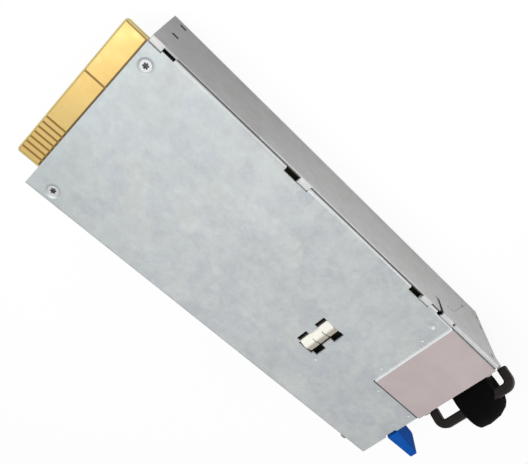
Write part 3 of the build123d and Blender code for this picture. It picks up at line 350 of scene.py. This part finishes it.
@dataclass(frozen=True)
class ZincSheet:
    """Galvanised sheet: soft crystal spangle, cloudy oxide, rolling lay and fine grain."""
    name: str
    base: Colour
    spangle: float = 9.0
    tint: float = 0.07
    metal: float = 0.35
    rough: tuple[float, float] = (0.42, 0.58)
    clouding: float = 0.055
    swirl: float = 0.006
    fine_share: float = 0.42
    traces: tuple[Trace, ...] = ()

    def make(self) -> bpy.types.Material:
        """Builds the sheet's material.

        Returns:
            The material.
        """
        g = Graph(self.name)
        warp = g.noise(7.0, 2.0, 0.6, colour=True)
        shift = g.add("ShaderNodeVectorMath")
        shift.operation = "MULTIPLY_ADD"
        g.link(warp, shift.inputs[0])
        shift.inputs[1].default_value = (self.swirl,) * 3
        g.link(g.place, shift.inputs[2])
        crystals = g.cells(self.spangle, "Color", shift.outputs["Vector"])
        fine = g.cells(self.spangle * self.fine_share, "Color", shift.outputs["Vector"])
        tone = g.calc(g.span(crystals, -0.3, 0.3, 0.0, 1.0), g.span(fine, -0.45, 0.45, 0.0, 1.0))
        cloud = g.noise(26.0, 4.0, 0.6, 0.4)
        frost = g.noise(3.4, 4.0, 0.65, 0.3)
        grain = g.noise(0.55, 2.0, 0.7)
        lay = g.noise(1.6, 3.0, 0.6, at=g.stretch(Axis3.Y))
        red, green, blue = self.base
        cool = (red * 0.985, green * 0.99, min(1.0, blue * 1.04))
        warm = (min(1.0, red * 1.02), green, blue * 0.98)
        tinted = g.mix(g.span(crystals, 0.0, 1.0, 0.1, 0.9), cool, warm)
        tinted = g.mix(g.span(frost, 0.0, 0.8), tinted, (red * 0.97, green * 1.015, blue * 0.975))
        value = g.calc(1.0, g.calc(tone, self.tint, "MULTIPLY"))
        value = g.calc(value, g.span(cloud, -self.clouding, self.clouding, 0.25, 0.75))
        value = g.calc(value, g.span(frost, -self.tint, self.tint))
        value = g.calc(value, g.span(grain, -0.03, 0.03))
        value = g.calc(value, g.span(lay, -0.018, 0.018))
        shaded = g.add("ShaderNodeVectorMath")
        shaded.operation = "SCALE"
        g.link(tinted, shaded.inputs[0])
        g.link(value, shaded.inputs["Scale"])
        colour = g.traced(shaded.outputs["Vector"], self.traces)
        rough = g.calc(g.span(crystals, *self.rough, 0.0, 1.0), g.span(grain, -0.04, 0.04))
        coarse = g.bump(g.noise(14.0, 2.0), 0.05, 0.35)
        normal = g.bump(g.calc(grain, lay), 0.012, 0.5, coarse)
        return g.finish(colour, rough, self.metal, normal)


@dataclass(frozen=True)
class BrushedSteel:
    """Bare rolled or polished steel with a directional lay and faint smears."""
    name: str
    base: Colour
    rough: tuple[float, float] = (0.3, 0.45)
    metal: float = 0.6
    lay: Axis3 = Axis3.Y
    depth: float = 0.006
    traces: tuple[Trace, ...] = ()

    def make(self) -> bpy.types.Material:
        """Builds the steel's material.

        Returns:
            The material.
        """
        g = Graph(self.name)
        lay = g.noise(0.7, 4.0, 0.65, at=g.stretch(self.lay))
        smear = g.noise(17.0, 3.0, 0.55, 0.6)
        red, green, blue = self.base
        dull = (red * 0.93, green * 0.92, blue * 0.93)
        bright = (min(1.0, red * 1.05), min(1.0, green * 1.045), min(1.0, blue * 1.05))
        colour = g.mix(g.span(smear, 0.0, 1.0), dull, bright)
        colour = g.mix(g.span(lay, 0.0, 0.25), colour, (red * 0.82, green * 0.82, blue * 0.82))
        colour = g.traced(colour, self.traces)
        rough = g.calc(g.span(smear, *self.rough), g.span(lay, -0.05, 0.05))
        normal = g.bump(lay, self.depth, 0.6, g.bump(smear, 0.05, 0.2))
        return g.finish(colour, rough, self.metal, normal)


@dataclass(frozen=True)
class Moulded:
    """Moulded plastic: spark-eroded grain, flow marks, faint wear."""
    name: str
    base: Colour
    worn: Colour
    rough: tuple[float, float] = (0.42, 0.55)
    grain: float = 0.35
    depth: float = 0.02
    coat: float = 0.0
    subsurface: float = 0.0
    gloss: float = 0.5
    traces: tuple[Trace, ...] = ()

    def make(self) -> bpy.types.Material:
        """Builds the plastic's material.

        Returns:
            The material.
        """
        g = Graph(self.name)
        fine = g.noise(self.grain, 2.0, 0.6)
        flow = g.noise(6.0, 3.0, 0.6, 0.8)
        scuff = g.noise(1.3, 5.0, 0.75, at=g.stretch(Axis3.X, 30.0))
        colour = g.mix(g.span(flow, 0.0, 0.5), self.base, self.worn)
        colour = g.mix(g.span(scuff, 0.0, 0.55, 0.6, 0.78), colour, self.worn)
        colour = g.traced(colour, self.traces)
        rough = g.calc(g.span(flow, *self.rough), g.span(fine, -0.03, 0.03))
        normal = g.bump(fine, self.depth, 0.6, g.bump(flow, 0.05, 0.25))
        return g.finish(colour, rough, 0.0, normal, Coat_Weight=self.coat, Coat_Roughness=0.25,
                        Subsurface_Weight=self.subsurface, Specular_IOR_Level=self.gloss)


@dataclass(frozen=True)
class StrapTape:
    """Napped hook and loop tape: looped pile in rows on a woven ground."""
    name: str
    base: Colour
    lint: Colour
    pitch: float = 0.9

    def make(self) -> bpy.types.Material:
        """Builds the tape's material.

        Returns:
            The material.
        """
        g = Graph(self.name)
        rows = g.stripes(self.pitch, "X", 1.2)
        pile = g.cells(0.55, "Distance")
        fuzz = g.noise(0.28, 3.0, 0.7)
        patch = g.noise(4.0, 3.0, 0.6)
        height = g.calc(g.calc(rows, 0.5, "MULTIPLY"), g.calc(pile, fuzz))
        colour = g.mix(g.span(fuzz, 0.0, 0.7, 0.45, 0.75), self.base, self.lint)
        colour = g.mix(g.span(patch, 0.0, 0.5), colour, self.base)
        normal = g.bump(height, 0.16, 0.8)
        return g.finish(colour, g.span(fuzz, 0.85, 0.98), 0.0, normal, Sheen_Weight=0.01,
                        Sheen_Roughness=0.5, Specular_IOR_Level=0.05)


@dataclass(frozen=True)
class GoldPlate:
    """Selective gold over nickel, with wiping marks along the card."""
    name: str
    base: Colour
    traces: tuple[Trace, ...] = ()

    def make(self) -> bpy.types.Material:
        """Builds the plating's material.

        Returns:
            The material.
        """
        g = Graph(self.name)
        wipe = g.noise(0.5, 3.0, 0.6, at=g.stretch(Axis3.Y))
        cloud = g.noise(7.0, 3.0, 0.55, 0.5)
        red, green, blue = self.base
        colour = g.mix(g.span(cloud, 0.0, 1.0), self.base, (red * 0.93, green * 0.88, blue * 0.78))
        colour = g.mix(g.span(wipe, 0.0, 0.3, 0.55, 0.75), colour, (red * 0.8, green * 0.7, blue * 0.55))
        colour = g.traced(colour, self.traces)
        normal = g.bump(wipe, 0.004, 0.5, g.bump(cloud, 0.05, 0.15))
        return g.finish(colour, g.calc(g.span(cloud, 0.3, 0.42), g.span(wipe, -0.04, 0.04)), 0.55, normal)


@dataclass(frozen=True)
class Laminate:
    """Coated glass cloth board: weave under the mask."""
    name: str
    base: Colour
    dark: Colour
    traces: tuple[Trace, ...] = ()

    def make(self) -> bpy.types.Material:
        """Builds the board's material.

        Returns:
            The material.
        """
        g = Graph(self.name)
        warp = g.stripes(0.7, "X", 0.3)
        weft = g.stripes(0.7, "Y", 0.3)
        weave = g.calc(warp, weft, "MULTIPLY")
        cloud = g.noise(9.0, 3.0)
        colour = g.mix(g.span(cloud, 0.0, 0.6), self.base, self.dark)
        colour = g.mix(g.span(weave, 0.0, 0.35, 0.0, 1.0), colour, self.dark)
        colour = g.traced(colour, self.traces)
        normal = g.bump(weave, 0.012, 0.5)
        return g.finish(colour, g.span(cloud, 0.35, 0.5), 0.0, normal, Coat_Weight=0.3, Coat_Roughness=0.2)


@dataclass(frozen=True)
class Wound:
    """Windings: fine turns side by side with a varnish gloss."""
    name: str
    base: Colour
    dark: Colour
    pitch: float
    axis: str
    metal: float = 0.6

    def make(self) -> bpy.types.Material:
        """Builds the winding's material.

        Returns:
            The material.
        """
        g = Graph(self.name)
        turns = g.stripes(self.pitch, self.axis, 0.6)
        varnish = g.noise(3.0, 3.0)
        colour = g.mix(g.span(turns, 0.0, 1.0, 0.0, 1.0), self.dark, self.base)
        colour = g.mix(g.span(varnish, 0.0, 0.4), colour, self.dark)
        normal = g.bump(turns, self.pitch * 0.35, 0.8)
        return g.finish(colour, g.span(varnish, 0.25, 0.4), self.metal, normal, Coat_Weight=0.4)


@dataclass(frozen=True)
class Fired:
    """Ferrite, ceramic or bonded magnet: pores and a dusty bloom."""
    name: str
    base: Colour
    bloom: Colour
    rough: tuple[float, float] = (0.6, 0.8)
    metal: float = 0.0

    def make(self) -> bpy.types.Material:
        """Builds the fired body's material.

        Returns:
            The material.
        """
        g = Graph(self.name)
        pores = g.cells(0.7, "Distance")
        bloom = g.noise(4.5, 4.0, 0.65)
        colour = g.mix(g.span(bloom, 0.0, 0.7), self.base, self.bloom)
        normal = g.bump(pores, 0.05, 0.4, g.bump(bloom, 0.05, 0.3))
        return g.finish(colour, g.span(bloom, *self.rough), self.metal, normal)


@dataclass(frozen=True)
class Sleeve:
    """Shrink sleeve or tape: thin glossy film with shrink lines."""
    name: str
    base: Colour
    light: Colour
    axis: str = "Y"
    pitch: float = 5.0

    def make(self) -> bpy.types.Material:
        """Builds the film's material.

        Returns:
            The material.
        """
        g = Graph(self.name)
        lines = g.stripes(self.pitch, self.axis, 3.0)
        cloud = g.noise(8.0, 3.0)
        colour = g.mix(g.span(cloud, 0.0, 0.6), self.base, self.light)
        normal = g.bump(lines, 0.05, 0.3, g.bump(cloud, 0.08, 0.3))
        return g.finish(colour, g.span(cloud, 0.22, 0.36), 0.0, normal, Coat_Weight=0.5, Coat_Roughness=0.15)


@dataclass(frozen=True)
class Clear:
    """Clear moulding or amber film."""
    name: str
    base: Colour
    clear: float
    rough: tuple[float, float] = (0.08, 0.2)

    def make(self) -> bpy.types.Material:
        """Builds the clear body's material.

        Returns:
            The material.
        """
        g = Graph(self.name)
        ripple = g.noise(5.0, 2.0)
        colour = g.mix(g.span(ripple, 0.0, 0.4), self.base, tuple(c * 0.9 for c in self.base))
        normal = g.bump(ripple, 0.05, 0.3)
        return g.finish(colour, g.span(ripple, *self.rough), 0.0, normal,
                        Transmission_Weight=self.clear, IOR=1.49)


@dataclass(frozen=True)
class CaseLines:
    """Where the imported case's edges and faces lie, in millimetres, for the traces that follow them."""
    front: float = -92.0
    bracket_rear: float = -63.0
    flange_end: float = -55.2
    seam_start: float = -53.0
    rear: float = 93.0
    under: float = 38.0
    top: float = 39.5
    wall: Span = (36.5, 36.9)
    hook_starts: tuple[float, ...] = (-48.4, 19.6, 87.3)
    hook_width: float = 5.0
    seam_runs: tuple[Span, ...] = ((-53.2, -48.6), (-43.2, 19.4), (24.8, 81.8))


class Finishes:
    """Every finish of the supply, made once."""
    near_black = shade(34, 31, 31)
    # gap colour: painted shade, laid in gaps, slots and recesses where shade falls
    gap = shade(26, 25, 25)
    # bright colour: painted highlight, laid where a sheared edge catches light
    bright = shade(246, 247, 248)
    # hook colour: painted highlight, laid where a bend or a hook tab catches light
    hook = shade(220, 222, 220)

    def __init__(self) -> None:
        """Makes the materials."""
        at = CaseLines()
        self.cover = ZincSheet("cover_zinc_look", shade(198, 201, 203), traces=self.cover_traces(at)).make()
        self.chassis = ZincSheet("chassis_zinc_look", shade(191, 190, 190), 6.5, metal=0.12,
                                 traces=self.chassis_traces(at)).make()
        self.bracket = BrushedSteel("bracket_look", shade(205, 192, 191), (0.34, 0.46), 0.3, traces=(
            # Painted highlight along the bracket's sheared rear edge
            Trace(self.bright, y=(-63.4, -62.0), z=(39.2, 40.5), amount=0.95, soft=0.15),
        )).make()
        self.make_steels()
        self.make_mouldings()
        self.make_board()
        self.make_parts()

    def cover_traces(self, at: CaseLines) -> tuple[Trace, ...]:
        """Painted highlights along the cover's sheared edges, painted shade in its gap beside the bracket and
        painted shade that darkens its rear.

        Args:
            at: Lines of the case.

        Returns:
            The traces.
        """
        return (
            # Painted highlight along the cover's bent edge beside the seam
            Trace(self.bright, x=(35.1, 36.0), y=(at.seam_start, 92.4), z=(38.6, at.top)),
            # Painted highlight along the cover's front edge
            Trace(self.bright, x=(34.0, 34.5), y=(at.bracket_rear, at.seam_start), z=(38.9, at.top),
                  amount=0.6),
            # Painted shade in the gap beside the bracket
            Trace(self.gap, x=(-5.7, -4.6), y=(at.front, at.bracket_rear), z=(at.under, at.top)),
            # Painted shade: the cover darkens towards its rear
            Trace(shade(110, 132, 128), y=(85.0, at.rear), amount=0.2, soft=60.0),
        )

    def chassis_traces(self, at: CaseLines) -> tuple[Trace, ...]:
        """Painted shade in the relief slot, along the seam and in the gaps beside the bracket, painted shade
        that darkens the side wall towards the floor and the rear, and painted highlights on the hook tabs,
        the wall's top bend and the front flange.

        Args:
            at: Lines of the case.

        Returns:
            The traces.
        """
        # Painted shade in the seam along each run
        seam_shadows = tuple(Trace(self.gap, x=(35.5, 36.35), y=run, z=(39.0, at.top)) for run in at.seam_runs)
        # Painted highlight on each hook tab's bend
        hook_highlights = tuple(Trace(self.hook, x=(33.9, 36.5), y=(y, y + at.hook_width), z=(38.7, at.top), amount=0.6)
                      for y in at.hook_starts)
        return (
            # Painted shade inside the relief slot
            Trace(self.gap, x=(35.4, 36.72), y=(-55.4, -53.1), z=(29.0, 39.4)),
            # Painted shade: the side wall darkens towards the floor
            Trace(shade(60, 60, 60), z=(-10.0, 0.0), amount=0.29, soft=38.0),
            # Painted shade: the side wall darkens towards its rear
            Trace(shade(96, 95, 95), x=at.wall, y=(80.0, at.rear), amount=0.4, soft=70.0),
            # Painted highlight along the side wall's top bend
            Trace(self.hook, x=(36.2, 36.9), y=(-40.0, 45.0), z=(at.under, at.top), amount=0.35, soft=0.8),
            *seam_shadows, *hook_highlights,
            # Painted highlight on the front flange's bend
            Trace(self.hook, x=(35.0, 36.3), y=(at.front, at.flange_end), z=(38.8, at.top),
                  amount=0.35, soft=0.3),
            # Painted shade in the gaps beside the bracket
            Trace(self.gap, x=(34.0, 34.9), y=(at.front, -62.6), z=(at.under, at.top)),
            Trace(self.gap, x=(34.0, 34.7), y=(-62.6, -55.4), z=(at.under, at.top)),
        )

    def make_steels(self) -> None:
        """Screws, springs, plated pins, busbars, cans and extrusions."""
        self.screw = BrushedSteel("zinc_screw_look", shade(206, 206, 200), (0.22, 0.34), 0.8,
                                  Axis3.NONE).make()
        # The cover screws' heads below their top are laid dark: painted shade in their recess
        self.flat_screw = BrushedSteel("cover_screw_look", shade(204, 205, 206), (0.36, 0.5), 0.3, Axis3.NONE,
                                       traces=(Trace(self.gap, z=(37.0, 38.55), amount=0.9),)).make()
        self.leaf = BrushedSteel("leaf_spring_look", shade(186, 187, 188), (0.28, 0.4), 0.8).make()
        self.nickel = BrushedSteel("nickel_look", shade(212, 208, 196), (0.2, 0.32), 0.85).make()
        self.copper = BrushedSteel("busbar_look", shade(206, 136, 96), (0.25, 0.4), 0.85).make()
        self.can = BrushedSteel("can_look", shade(206, 207, 208), (0.24, 0.36), 0.85, Axis3.Z).make()
        self.sink = BrushedSteel("extrusion_look", shade(196, 198, 200), (0.34, 0.48), 0.8,
                                 depth=0.012).make()

    def make_mouldings(self) -> None:
        """Handle, tab, white support, black housings and the fan's rotor, and the strap's tape."""
        self.handle = Moulded("bail_moulding_look", shade(22, 15, 15), shade(44, 34, 34), (0.45, 0.6),
                              gloss=0.2).make()
        self.tab = Moulded("tab_moulding_look", shade(16, 78, 164), shade(32, 94, 182), (0.5, 0.65), 0.4,
                           0.015, gloss=0.01).make()
        self.white = Moulded("support_moulding_look", shade(243, 242, 233), shade(226, 224, 212), (0.4, 0.5),
                             0.5, 0.015, gloss=0.3, traces=(
            # Painted shadow of the window's edge across the support's lower band
            Trace(shade(176, 168, 154), x=(-14.6, 1.2), y=(-35.0, -32.0), amount=0.85, soft=1.2),
            # Painted shade: the support's +Y face, seen through the slots, is laid near black
            Trace(self.near_black, y=(-27.45, -26.0)),
            # Painted shade: all of the support below 36.8 mm is laid near black
            Trace(self.near_black, z=(0.0, 36.8)),
        )).make()
        self.black = Moulded("black_moulding_look", self.near_black, shade(60, 58, 58), (0.38, 0.5)).make()
        self.rotor = Moulded("rotor_moulding_look", shade(24, 24, 26), shade(48, 48, 50), (0.3, 0.42)).make()
        self.strap = StrapTape("strap_look", shade(7, 6, 6), shade(22, 20, 20)).make()

    def make_board(self) -> None:
        """Gold pads with painted shade at their root and over the right pad, the main board with bare
        laminate between the pads and painted shade inside the case, and the control card's mask.
        """
        self.gold = GoldPlate("gold_look", shade(228, 198, 128), (
            # Painted shade that dulls the right pad
            Trace(shade(170, 128, 56), x=(24.0, 34.0), amount=0.16, soft=24.0),
            # Painted shade at the pads' root, where the card leaves the case
            Trace(shade(44, 34, 20), y=(92.0, 93.4), soft=0.3),
        )).make()
        self.laminate = Laminate("laminate_look", shade(206, 190, 116), shade(170, 152, 84), (
            Trace(shade(132, 92, 14), x=(-31.4, 31.8), y=(92.0, 101.7), z=(29.9, 31.7),
                  amount=0.92, soft=0.2),
            # Painted shade: the board inside the case is laid near black, seen through the slots
            Trace(shade(22, 26, 22), y=(-80.0, 92.7), amount=0.97, soft=0.3),
        )).make()
        self.mask = Laminate("control_card_look", shade(34, 96, 60), shade(20, 64, 42)).make()

    def make_parts(self) -> None:
        """Windings, ferrites, capacitors, leads, sheets and the light pipe."""
        self.coils = Wound("choke_coil_look", shade(206, 120, 60), shade(96, 44, 20), 1.1, "Z").make()
        self.stator = Wound("stator_look", shade(196, 112, 56), shade(90, 42, 22), 0.5, "Y").make()
        self.taped = Wound("taped_coil_look", shade(232, 200, 72), shade(180, 144, 40), 4.0, "Z", 0.0).make()
        self.ferrite = Fired("ferrite_look", shade(58, 57, 58), shade(86, 84, 84)).make()
        self.magnet = Fired("magnet_look", shade(74, 70, 70), shade(98, 92, 92), (0.5, 0.7), 0.2).make()
        self.disc = Fired("disc_look", shade(62, 120, 178), shade(96, 150, 196), (0.35, 0.5)).make()
        self.ceramic = Fired("fuse_look", shade(224, 218, 202), shade(200, 190, 168), (0.3, 0.45)).make()
        self.film = Sleeve("film_capacitor_look", shade(170, 174, 178), shade(190, 194, 196), "Z").make()
        self.sleeve = Sleeve("bulk_sleeve_look", shade(34, 38, 50), shade(50, 56, 70)).make()
        self.lead = Sleeve("lead_look", shade(34, 34, 36), shade(52, 52, 54), "Z", 1.4).make()
        self.cover_film = Sleeve("black_sheet_look", shade(16, 15, 15), shade(26, 24, 24)).make()
        self.film_sheet = Clear("amber_sheet_look", shade(232, 214, 150), 0.3, (0.2, 0.32)).make()
        self.pipe = Clear("light_pipe_look", shade(226, 238, 230), 0.85).make()


@dataclass
class Dressing:
    """Gives CAD nodes their finish, and softens an edge where light would catch it."""
    finishes: Finishes
    soften_angle: float = 34.0
    soften_facets: int = 2
    weld_reach: float = 1e-6
    softened: tuple[tuple[str, float], ...] = (
        ("cover", 0.2), ("fan_bracket", 0.25), ("chassis", 0.15), ("release_tab", 0.3),
        ("board_support", 0.2), ("ac_inlet", 0.25), ("main_board", 0.12),
    )

    def paint(self, node: str, material: bpy.types.Material) -> None:
        """Assigns a finish to a CAD node's material slots.

        Args:
            node: CAD node.
            material: Finish.
        """
        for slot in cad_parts[node].material_slots:
            slot.material = material

    def soften(self, node: str, width: float) -> None:
        """Rounds a CAD node's sharp edges with a modifier, leaving its mesh as packed.

        Args:
            node: CAD node.
            width: Width of the rounding in millimetres.
        """
        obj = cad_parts[node]
        weld = obj.modifiers.new("weld", "WELD")
        weld.merge_threshold = self.weld_reach
        bevel = obj.modifiers.new("soften", "BEVEL")
        bevel.width = width * MM
        bevel.segments = self.soften_facets
        bevel.limit_method = "ANGLE"
        bevel.angle_limit = math.radians(self.soften_angle)
        bevel.harden_normals = False
        LOG.info("softened %s by %.2f mm", node, width)

    def dress(self) -> None:
        """Paints every carried-over node and softens those whose edges show."""
        f = self.finishes
        looks: dict[str, bpy.types.Material] = {
            "cover": f.cover, "chassis": f.chassis, "fan_bracket": f.bracket, "latch_leaf": f.leaf,
            "handle_arms": f.leaf, "cover_screws": f.flat_screw,
            "board_standoffs": f.nickel, "inlet_pins": f.nickel, "main_board": f.laminate,
            "control_card": f.mask, "power_pads": f.gold, "signal_pads": f.gold, "output_busbars": f.copper,
            "emi_choke_coils": f.coils, "fan_stator": f.stator, "cover_insulator": f.cover_film,
            "floor_liner": f.film_sheet, "board_support": f.white, "fan_header": f.white,
            "handle_bail": f.handle, "release_tab": f.tab, "ac_inlet": f.black, "fan_frame": f.black,
            "fan_rotor": f.rotor, "bridge_rectifier": f.black, "control_chips": f.black,
            "power_transistors": f.black, "relay": f.black, "inlet_leads": f.lead, "fan_lead": f.lead,
            "light_pipe": f.pipe, "status_led": f.pipe, "emi_choke_core": f.ferrite, "pfc_choke": f.ferrite,
            "transformer_core": f.ferrite, "resonant_choke": f.ferrite, "fan_magnet": f.magnet,
            "transformer_coil": f.taped, "x_capacitors": f.film, "y_capacitors": f.disc, "fuse": f.ceramic,
            "bulk_capacitor": f.sleeve, "output_capacitors": f.can, "primary_heatsink": f.sink,
            "secondary_heatsink": f.sink,
        }
        for node in ("board_screws", "fan_screws", "transistor_screws", "bracket_rivets", "latch_rivets",
                     "handle_pins", "fan_shaft", "fan_bearings"):
            looks[node] = f.screw
        for node, material in looks.items():
            self.paint(node, material)
        for node, width in self.softened:
            self.soften(node, width)
        LOG.info("dressed %d nodes", len(looks))


def new_object(name: str, verts: Sequence[Sequence[float]], faces: Iterable[Sequence[int]],
               material: bpy.types.Material, smooth: bool = True) -> bpy.types.Object:
    """A mesh object in the scene.

    Args:
        name: Object name.
        verts: Points in metres.
        faces: Faces as indices of points.
        material: Finish.
        smooth: Whether faces are shaded smooth.

    Returns:
        The object.
    """
    mesh = bpy.data.meshes.new(name)
    mesh.from_pydata([tuple(v) for v in verts], [], [tuple(f) for f in faces])
    mesh.validate()
    mesh.update()
    mesh.materials.append(material)
    for poly in mesh.polygons:
        poly.use_smooth = smooth
    obj = bpy.data.objects.new(name, mesh)
    bpy.context.scene.collection.objects.link(obj)
    return obj


@dataclass
class CordStrap:
    """The hook and loop strap rolled round the grip: a spiral of tape, oval in section, fuller in its
    middle.  Each station is x, y and z of the roll's middle and its half widths along y and z."""
    finish: bpy.types.Material
    stations: tuple[Station, ...] = (
        (9.4, -110.4, 28.3, 12.8, 10.5), (14.0, -110.6, 28.3, 13.0, 11.0), (20.0, -109.9, 28.1, 12.4, 11.1),
        (24.0, -109.0, 27.9, 10.9, 10.4), (26.0, -108.5, 27.8, 9.2, 9.2),
    )
    tape: float = 1.7
    gap: float = 0.22
    steps: int = 72
    rounding: float = 0.55
    turns: int = 4
    core: float = 1.0
    ribs: tuple[float, ...] = (0.14, 0.28, 0.45, 0.64, 0.76, 0.88)

    def width(self) -> float:
        """The tape's width in millimetres."""
        return self.stations[-1][0] - self.stations[0][0]

    def section(self, share: float) -> Station:
        """The oval at a share of the way from the left end to the right end.

        Args:
            share: From 0 at the left end to 1 at the right.

        Returns:
            x, y, z of the middle, and the two half widths, in millimetres.
        """
        x = self.stations[0][0] + self.width() * share
        after = next(i for i, station in enumerate(self.stations) if i and station[0] >= x - 1e-6)
        first, last = self.stations[after - 1], self.stations[after]
        part = (x - first[0]) / (last[0] - first[0])
        return tuple(a + (b - a) * part for a, b in zip(first, last))

    def ring(self, share: float, turn: float, inset: float) -> Vector:
        """A point of the spiral.

        Args:
            share: Share of the way across the strap's width.
            turn: Turns from the outer end.
            inset: Depth below the tape's outer face in millimetres.

        Returns:
            The point in metres.
        """
        x, y, z, long_r, high_r = self.section(share)
        angle = 2 * math.pi * turn
        drop = turn * (self.tape + self.gap) + inset
        radial_y = max(long_r - drop, self.core)
        radial_z = max(high_r - drop, self.core)
        return Vector((x, y + radial_y * math.cos(angle), z + radial_z * math.sin(angle))) * MM

    def build(self) -> None:
        """Builds the roll and puts it on the handle."""
        edge = self.rounding / self.width()
        across = [0.0, 0.0, edge, *self.ribs, 1 - edge, 1.0, 1.0]
        skin = [self.tape / 2, self.rounding] + [0.0] * (len(self.ribs) + 2) + [self.rounding, self.tape / 2]
        loop = list(zip(across, skin))
        loop += [(share, self.tape - inset) for share, inset in reversed(loop)][1:-1]
        count = self.steps * self.turns
        verts: list[Vector] = []
        for step in range(count + 1):
            verts += [self.ring(share, step / self.steps, inset) for share, inset in loop]
        size = len(loop)
        faces: list[list[int]] = []
        for step in range(count):
            for k in range(size):
                a, b = step * size + k, step * size + (k + 1) % size
                faces.append([a, b, b + size, a + size])
        faces.append(list(range(size))[::-1])
        faces.append([count * size + k for k in range(size)])
        obj = new_object("strap_roll", verts, faces, self.finish)
        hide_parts("cord_strap")
        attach(obj, "handle")
        LOG.info("strap roll: %d turns, %d faces", self.turns, len(faces))


@dataclass(frozen=True)
class Lamp:
    """A soft square lamp: its place and the point that it faces in metres, its side and its watts."""
    name: str
    at: Point
    towards: Point
    size: float
    watts: float

    def hang(self) -> None:
        """Adds the lamp to the scene."""
        data = bpy.data.lights.new(self.name, "AREA")
        data.shape = "SQUARE"
        data.size = self.size
        data.energy = self.watts
        obj = bpy.data.objects.new(self.name, data)
        obj.location = self.at
        obj.rotation_euler = (Vector(self.towards) - Vector(self.at)).to_track_quat("-Z", "Y").to_euler()
        bpy.context.scene.collection.objects.link(obj)


@dataclass
class Studio:
    """Pale floor, soft light and the photograph's camera, whose place is in millimetres."""
    eye: Point = (92.981, 84.957, 233.482)
    forward: Point = (-0.36841, -0.30046, -0.87977)
    right: Point = (0.70180, -0.71053, -0.05123)
    lens: float = 40.970
    sensor: float = 36.0
    near: float = 0.01
    sky: float = 0.42
    floor_white: float = 0.87
    floor_lit: float = 0.55
    floor_seen: float = 0.97
    floor_half: float = 4.0
    floor_drop: float = 0.0002
    lamps: tuple[Lamp, ...] = (
        Lamp("key", (0.06, 0.22, 0.5), (0.0, 0.03, 0.03), 0.42, 2.25),
        Lamp("fill", (0.42, -0.5, 0.2), (0.0, -0.06, 0.02), 0.4, 1.1),
    )

    def floor(self) -> None:
        """Lays the floor: a pale matt sheet that shows nearly white and keeps the shadow."""
        mat = bpy.data.materials.new("floor_paper")
        mat.use_nodes = True
        tree = mat.node_tree
        tree.nodes.clear()
        out = tree.nodes.new("ShaderNodeOutputMaterial")
        matt = tree.nodes.new("ShaderNodeBsdfDiffuse")
        glow = tree.nodes.new("ShaderNodeEmission")
        glow.inputs["Color"].default_value = (1.0, 1.0, 1.0, 1.0)
        seen = self.seen(tree)
        paper = tree.nodes.new("ShaderNodeMapRange")
        paper.inputs["To Min"].default_value = self.floor_lit
        paper.inputs["To Max"].default_value = self.floor_seen
        tree.links.new(seen, paper.inputs["Value"])
        tree.links.new(paper.outputs["Result"], matt.inputs["Color"])
        amount = tree.nodes.new("ShaderNodeMath")
        amount.operation = "MULTIPLY"
        amount.inputs[1].default_value = self.floor_white
        tree.links.new(seen, amount.inputs[0])
        blend = tree.nodes.new("ShaderNodeMixShader")
        tree.links.new(amount.outputs[0], blend.inputs[0])
        tree.links.new(matt.outputs[0], blend.inputs[1])
        tree.links.new(glow.outputs[0], blend.inputs[2])
        tree.links.new(blend.outputs[0], out.inputs["Surface"])
        half, level = self.floor_half, -self.floor_drop
        corners = [(-half, -half, level), (half, -half, level), (half, half, level), (-half, half, level)]
        new_object("floor", corners, [(0, 1, 2, 3)], mat, False)

    @staticmethod
    def seen(tree: bpy.types.NodeTree) -> bpy.types.NodeSocket:
        """One where a camera, mirror or glass ray looks, and zero for light.

        Args:
            tree: Node tree of the floor's material.

        Returns:
            The factor output.
        """
        path = tree.nodes.new("ShaderNodeLightPath")
        first = tree.nodes.new("ShaderNodeMath")
        first.operation = "MAXIMUM"
        tree.links.new(path.outputs["Is Camera Ray"], first.inputs[0])
        tree.links.new(path.outputs["Is Glossy Ray"], first.inputs[1])
        second = tree.nodes.new("ShaderNodeMath")
        second.operation = "MAXIMUM"
        tree.links.new(first.outputs[0], second.inputs[0])
        tree.links.new(path.outputs["Is Transmission Ray"], second.inputs[1])
        return second.outputs[0]

    def world(self) -> None:
        """Even sky light, shown white behind the object."""
        world = bpy.data.worlds.new("studio_sky")
        world.use_nodes = True
        tree = world.node_tree
        tree.nodes.clear()
        out = tree.nodes.new("ShaderNodeOutputWorld")
        sky = tree.nodes.new("ShaderNodeBackground")
        sky.inputs["Color"].default_value = (1.0, 1.0, 1.0, 1.0)
        path = tree.nodes.new("ShaderNodeLightPath")
        level = tree.nodes.new("ShaderNodeMapRange")
        tree.links.new(path.outputs["Is Camera Ray"], level.inputs["Value"])
        level.inputs["To Min"].default_value = self.sky
        level.inputs["To Max"].default_value = 1.0
        tree.links.new(level.outputs["Result"], sky.inputs["Strength"])
        tree.links.new(sky.outputs[0], out.inputs["Surface"])
        bpy.context.scene.world = world

    def camera(self) -> None:
        """Sets the camera where the photograph was taken from."""
        look, side = Vector(self.forward).normalized(), Vector(self.right).normalized()
        up = side.cross(look).normalized()
        data = bpy.data.cameras.new("photo_view")
        data.sensor_fit = "HORIZONTAL"
        data.sensor_width = self.sensor
        data.lens = self.lens
        data.clip_start = self.near
        cam = bpy.data.objects.new("photo_view", data)
        cam.matrix_world = Matrix((
            (side.x, up.x, -look.x, self.eye[0] * MM), (side.y, up.y, -look.y, self.eye[1] * MM),
            (side.z, up.z, -look.z, self.eye[2] * MM), (0.0, 0.0, 0.0, 1.0)))
        bpy.context.scene.collection.objects.link(cam)
        bpy.context.scene.camera = cam

    def build(self) -> None:
        """Makes the studio."""
        bpy.context.scene.view_settings.view_transform = "Standard"
        self.floor()
        self.world()
        for lamp in self.lamps:
            lamp.hang()
        self.camera()
        LOG.info("studio ready")


def main() -> None:
    """Builds the studio, dresses the nodes and adds the scene's own pieces."""
    Studio().build()
    finishes = Finishes()
    Dressing(finishes).dress()
    CordStrap(finishes.strap).build()


if __name__ == "__main__":
    main()
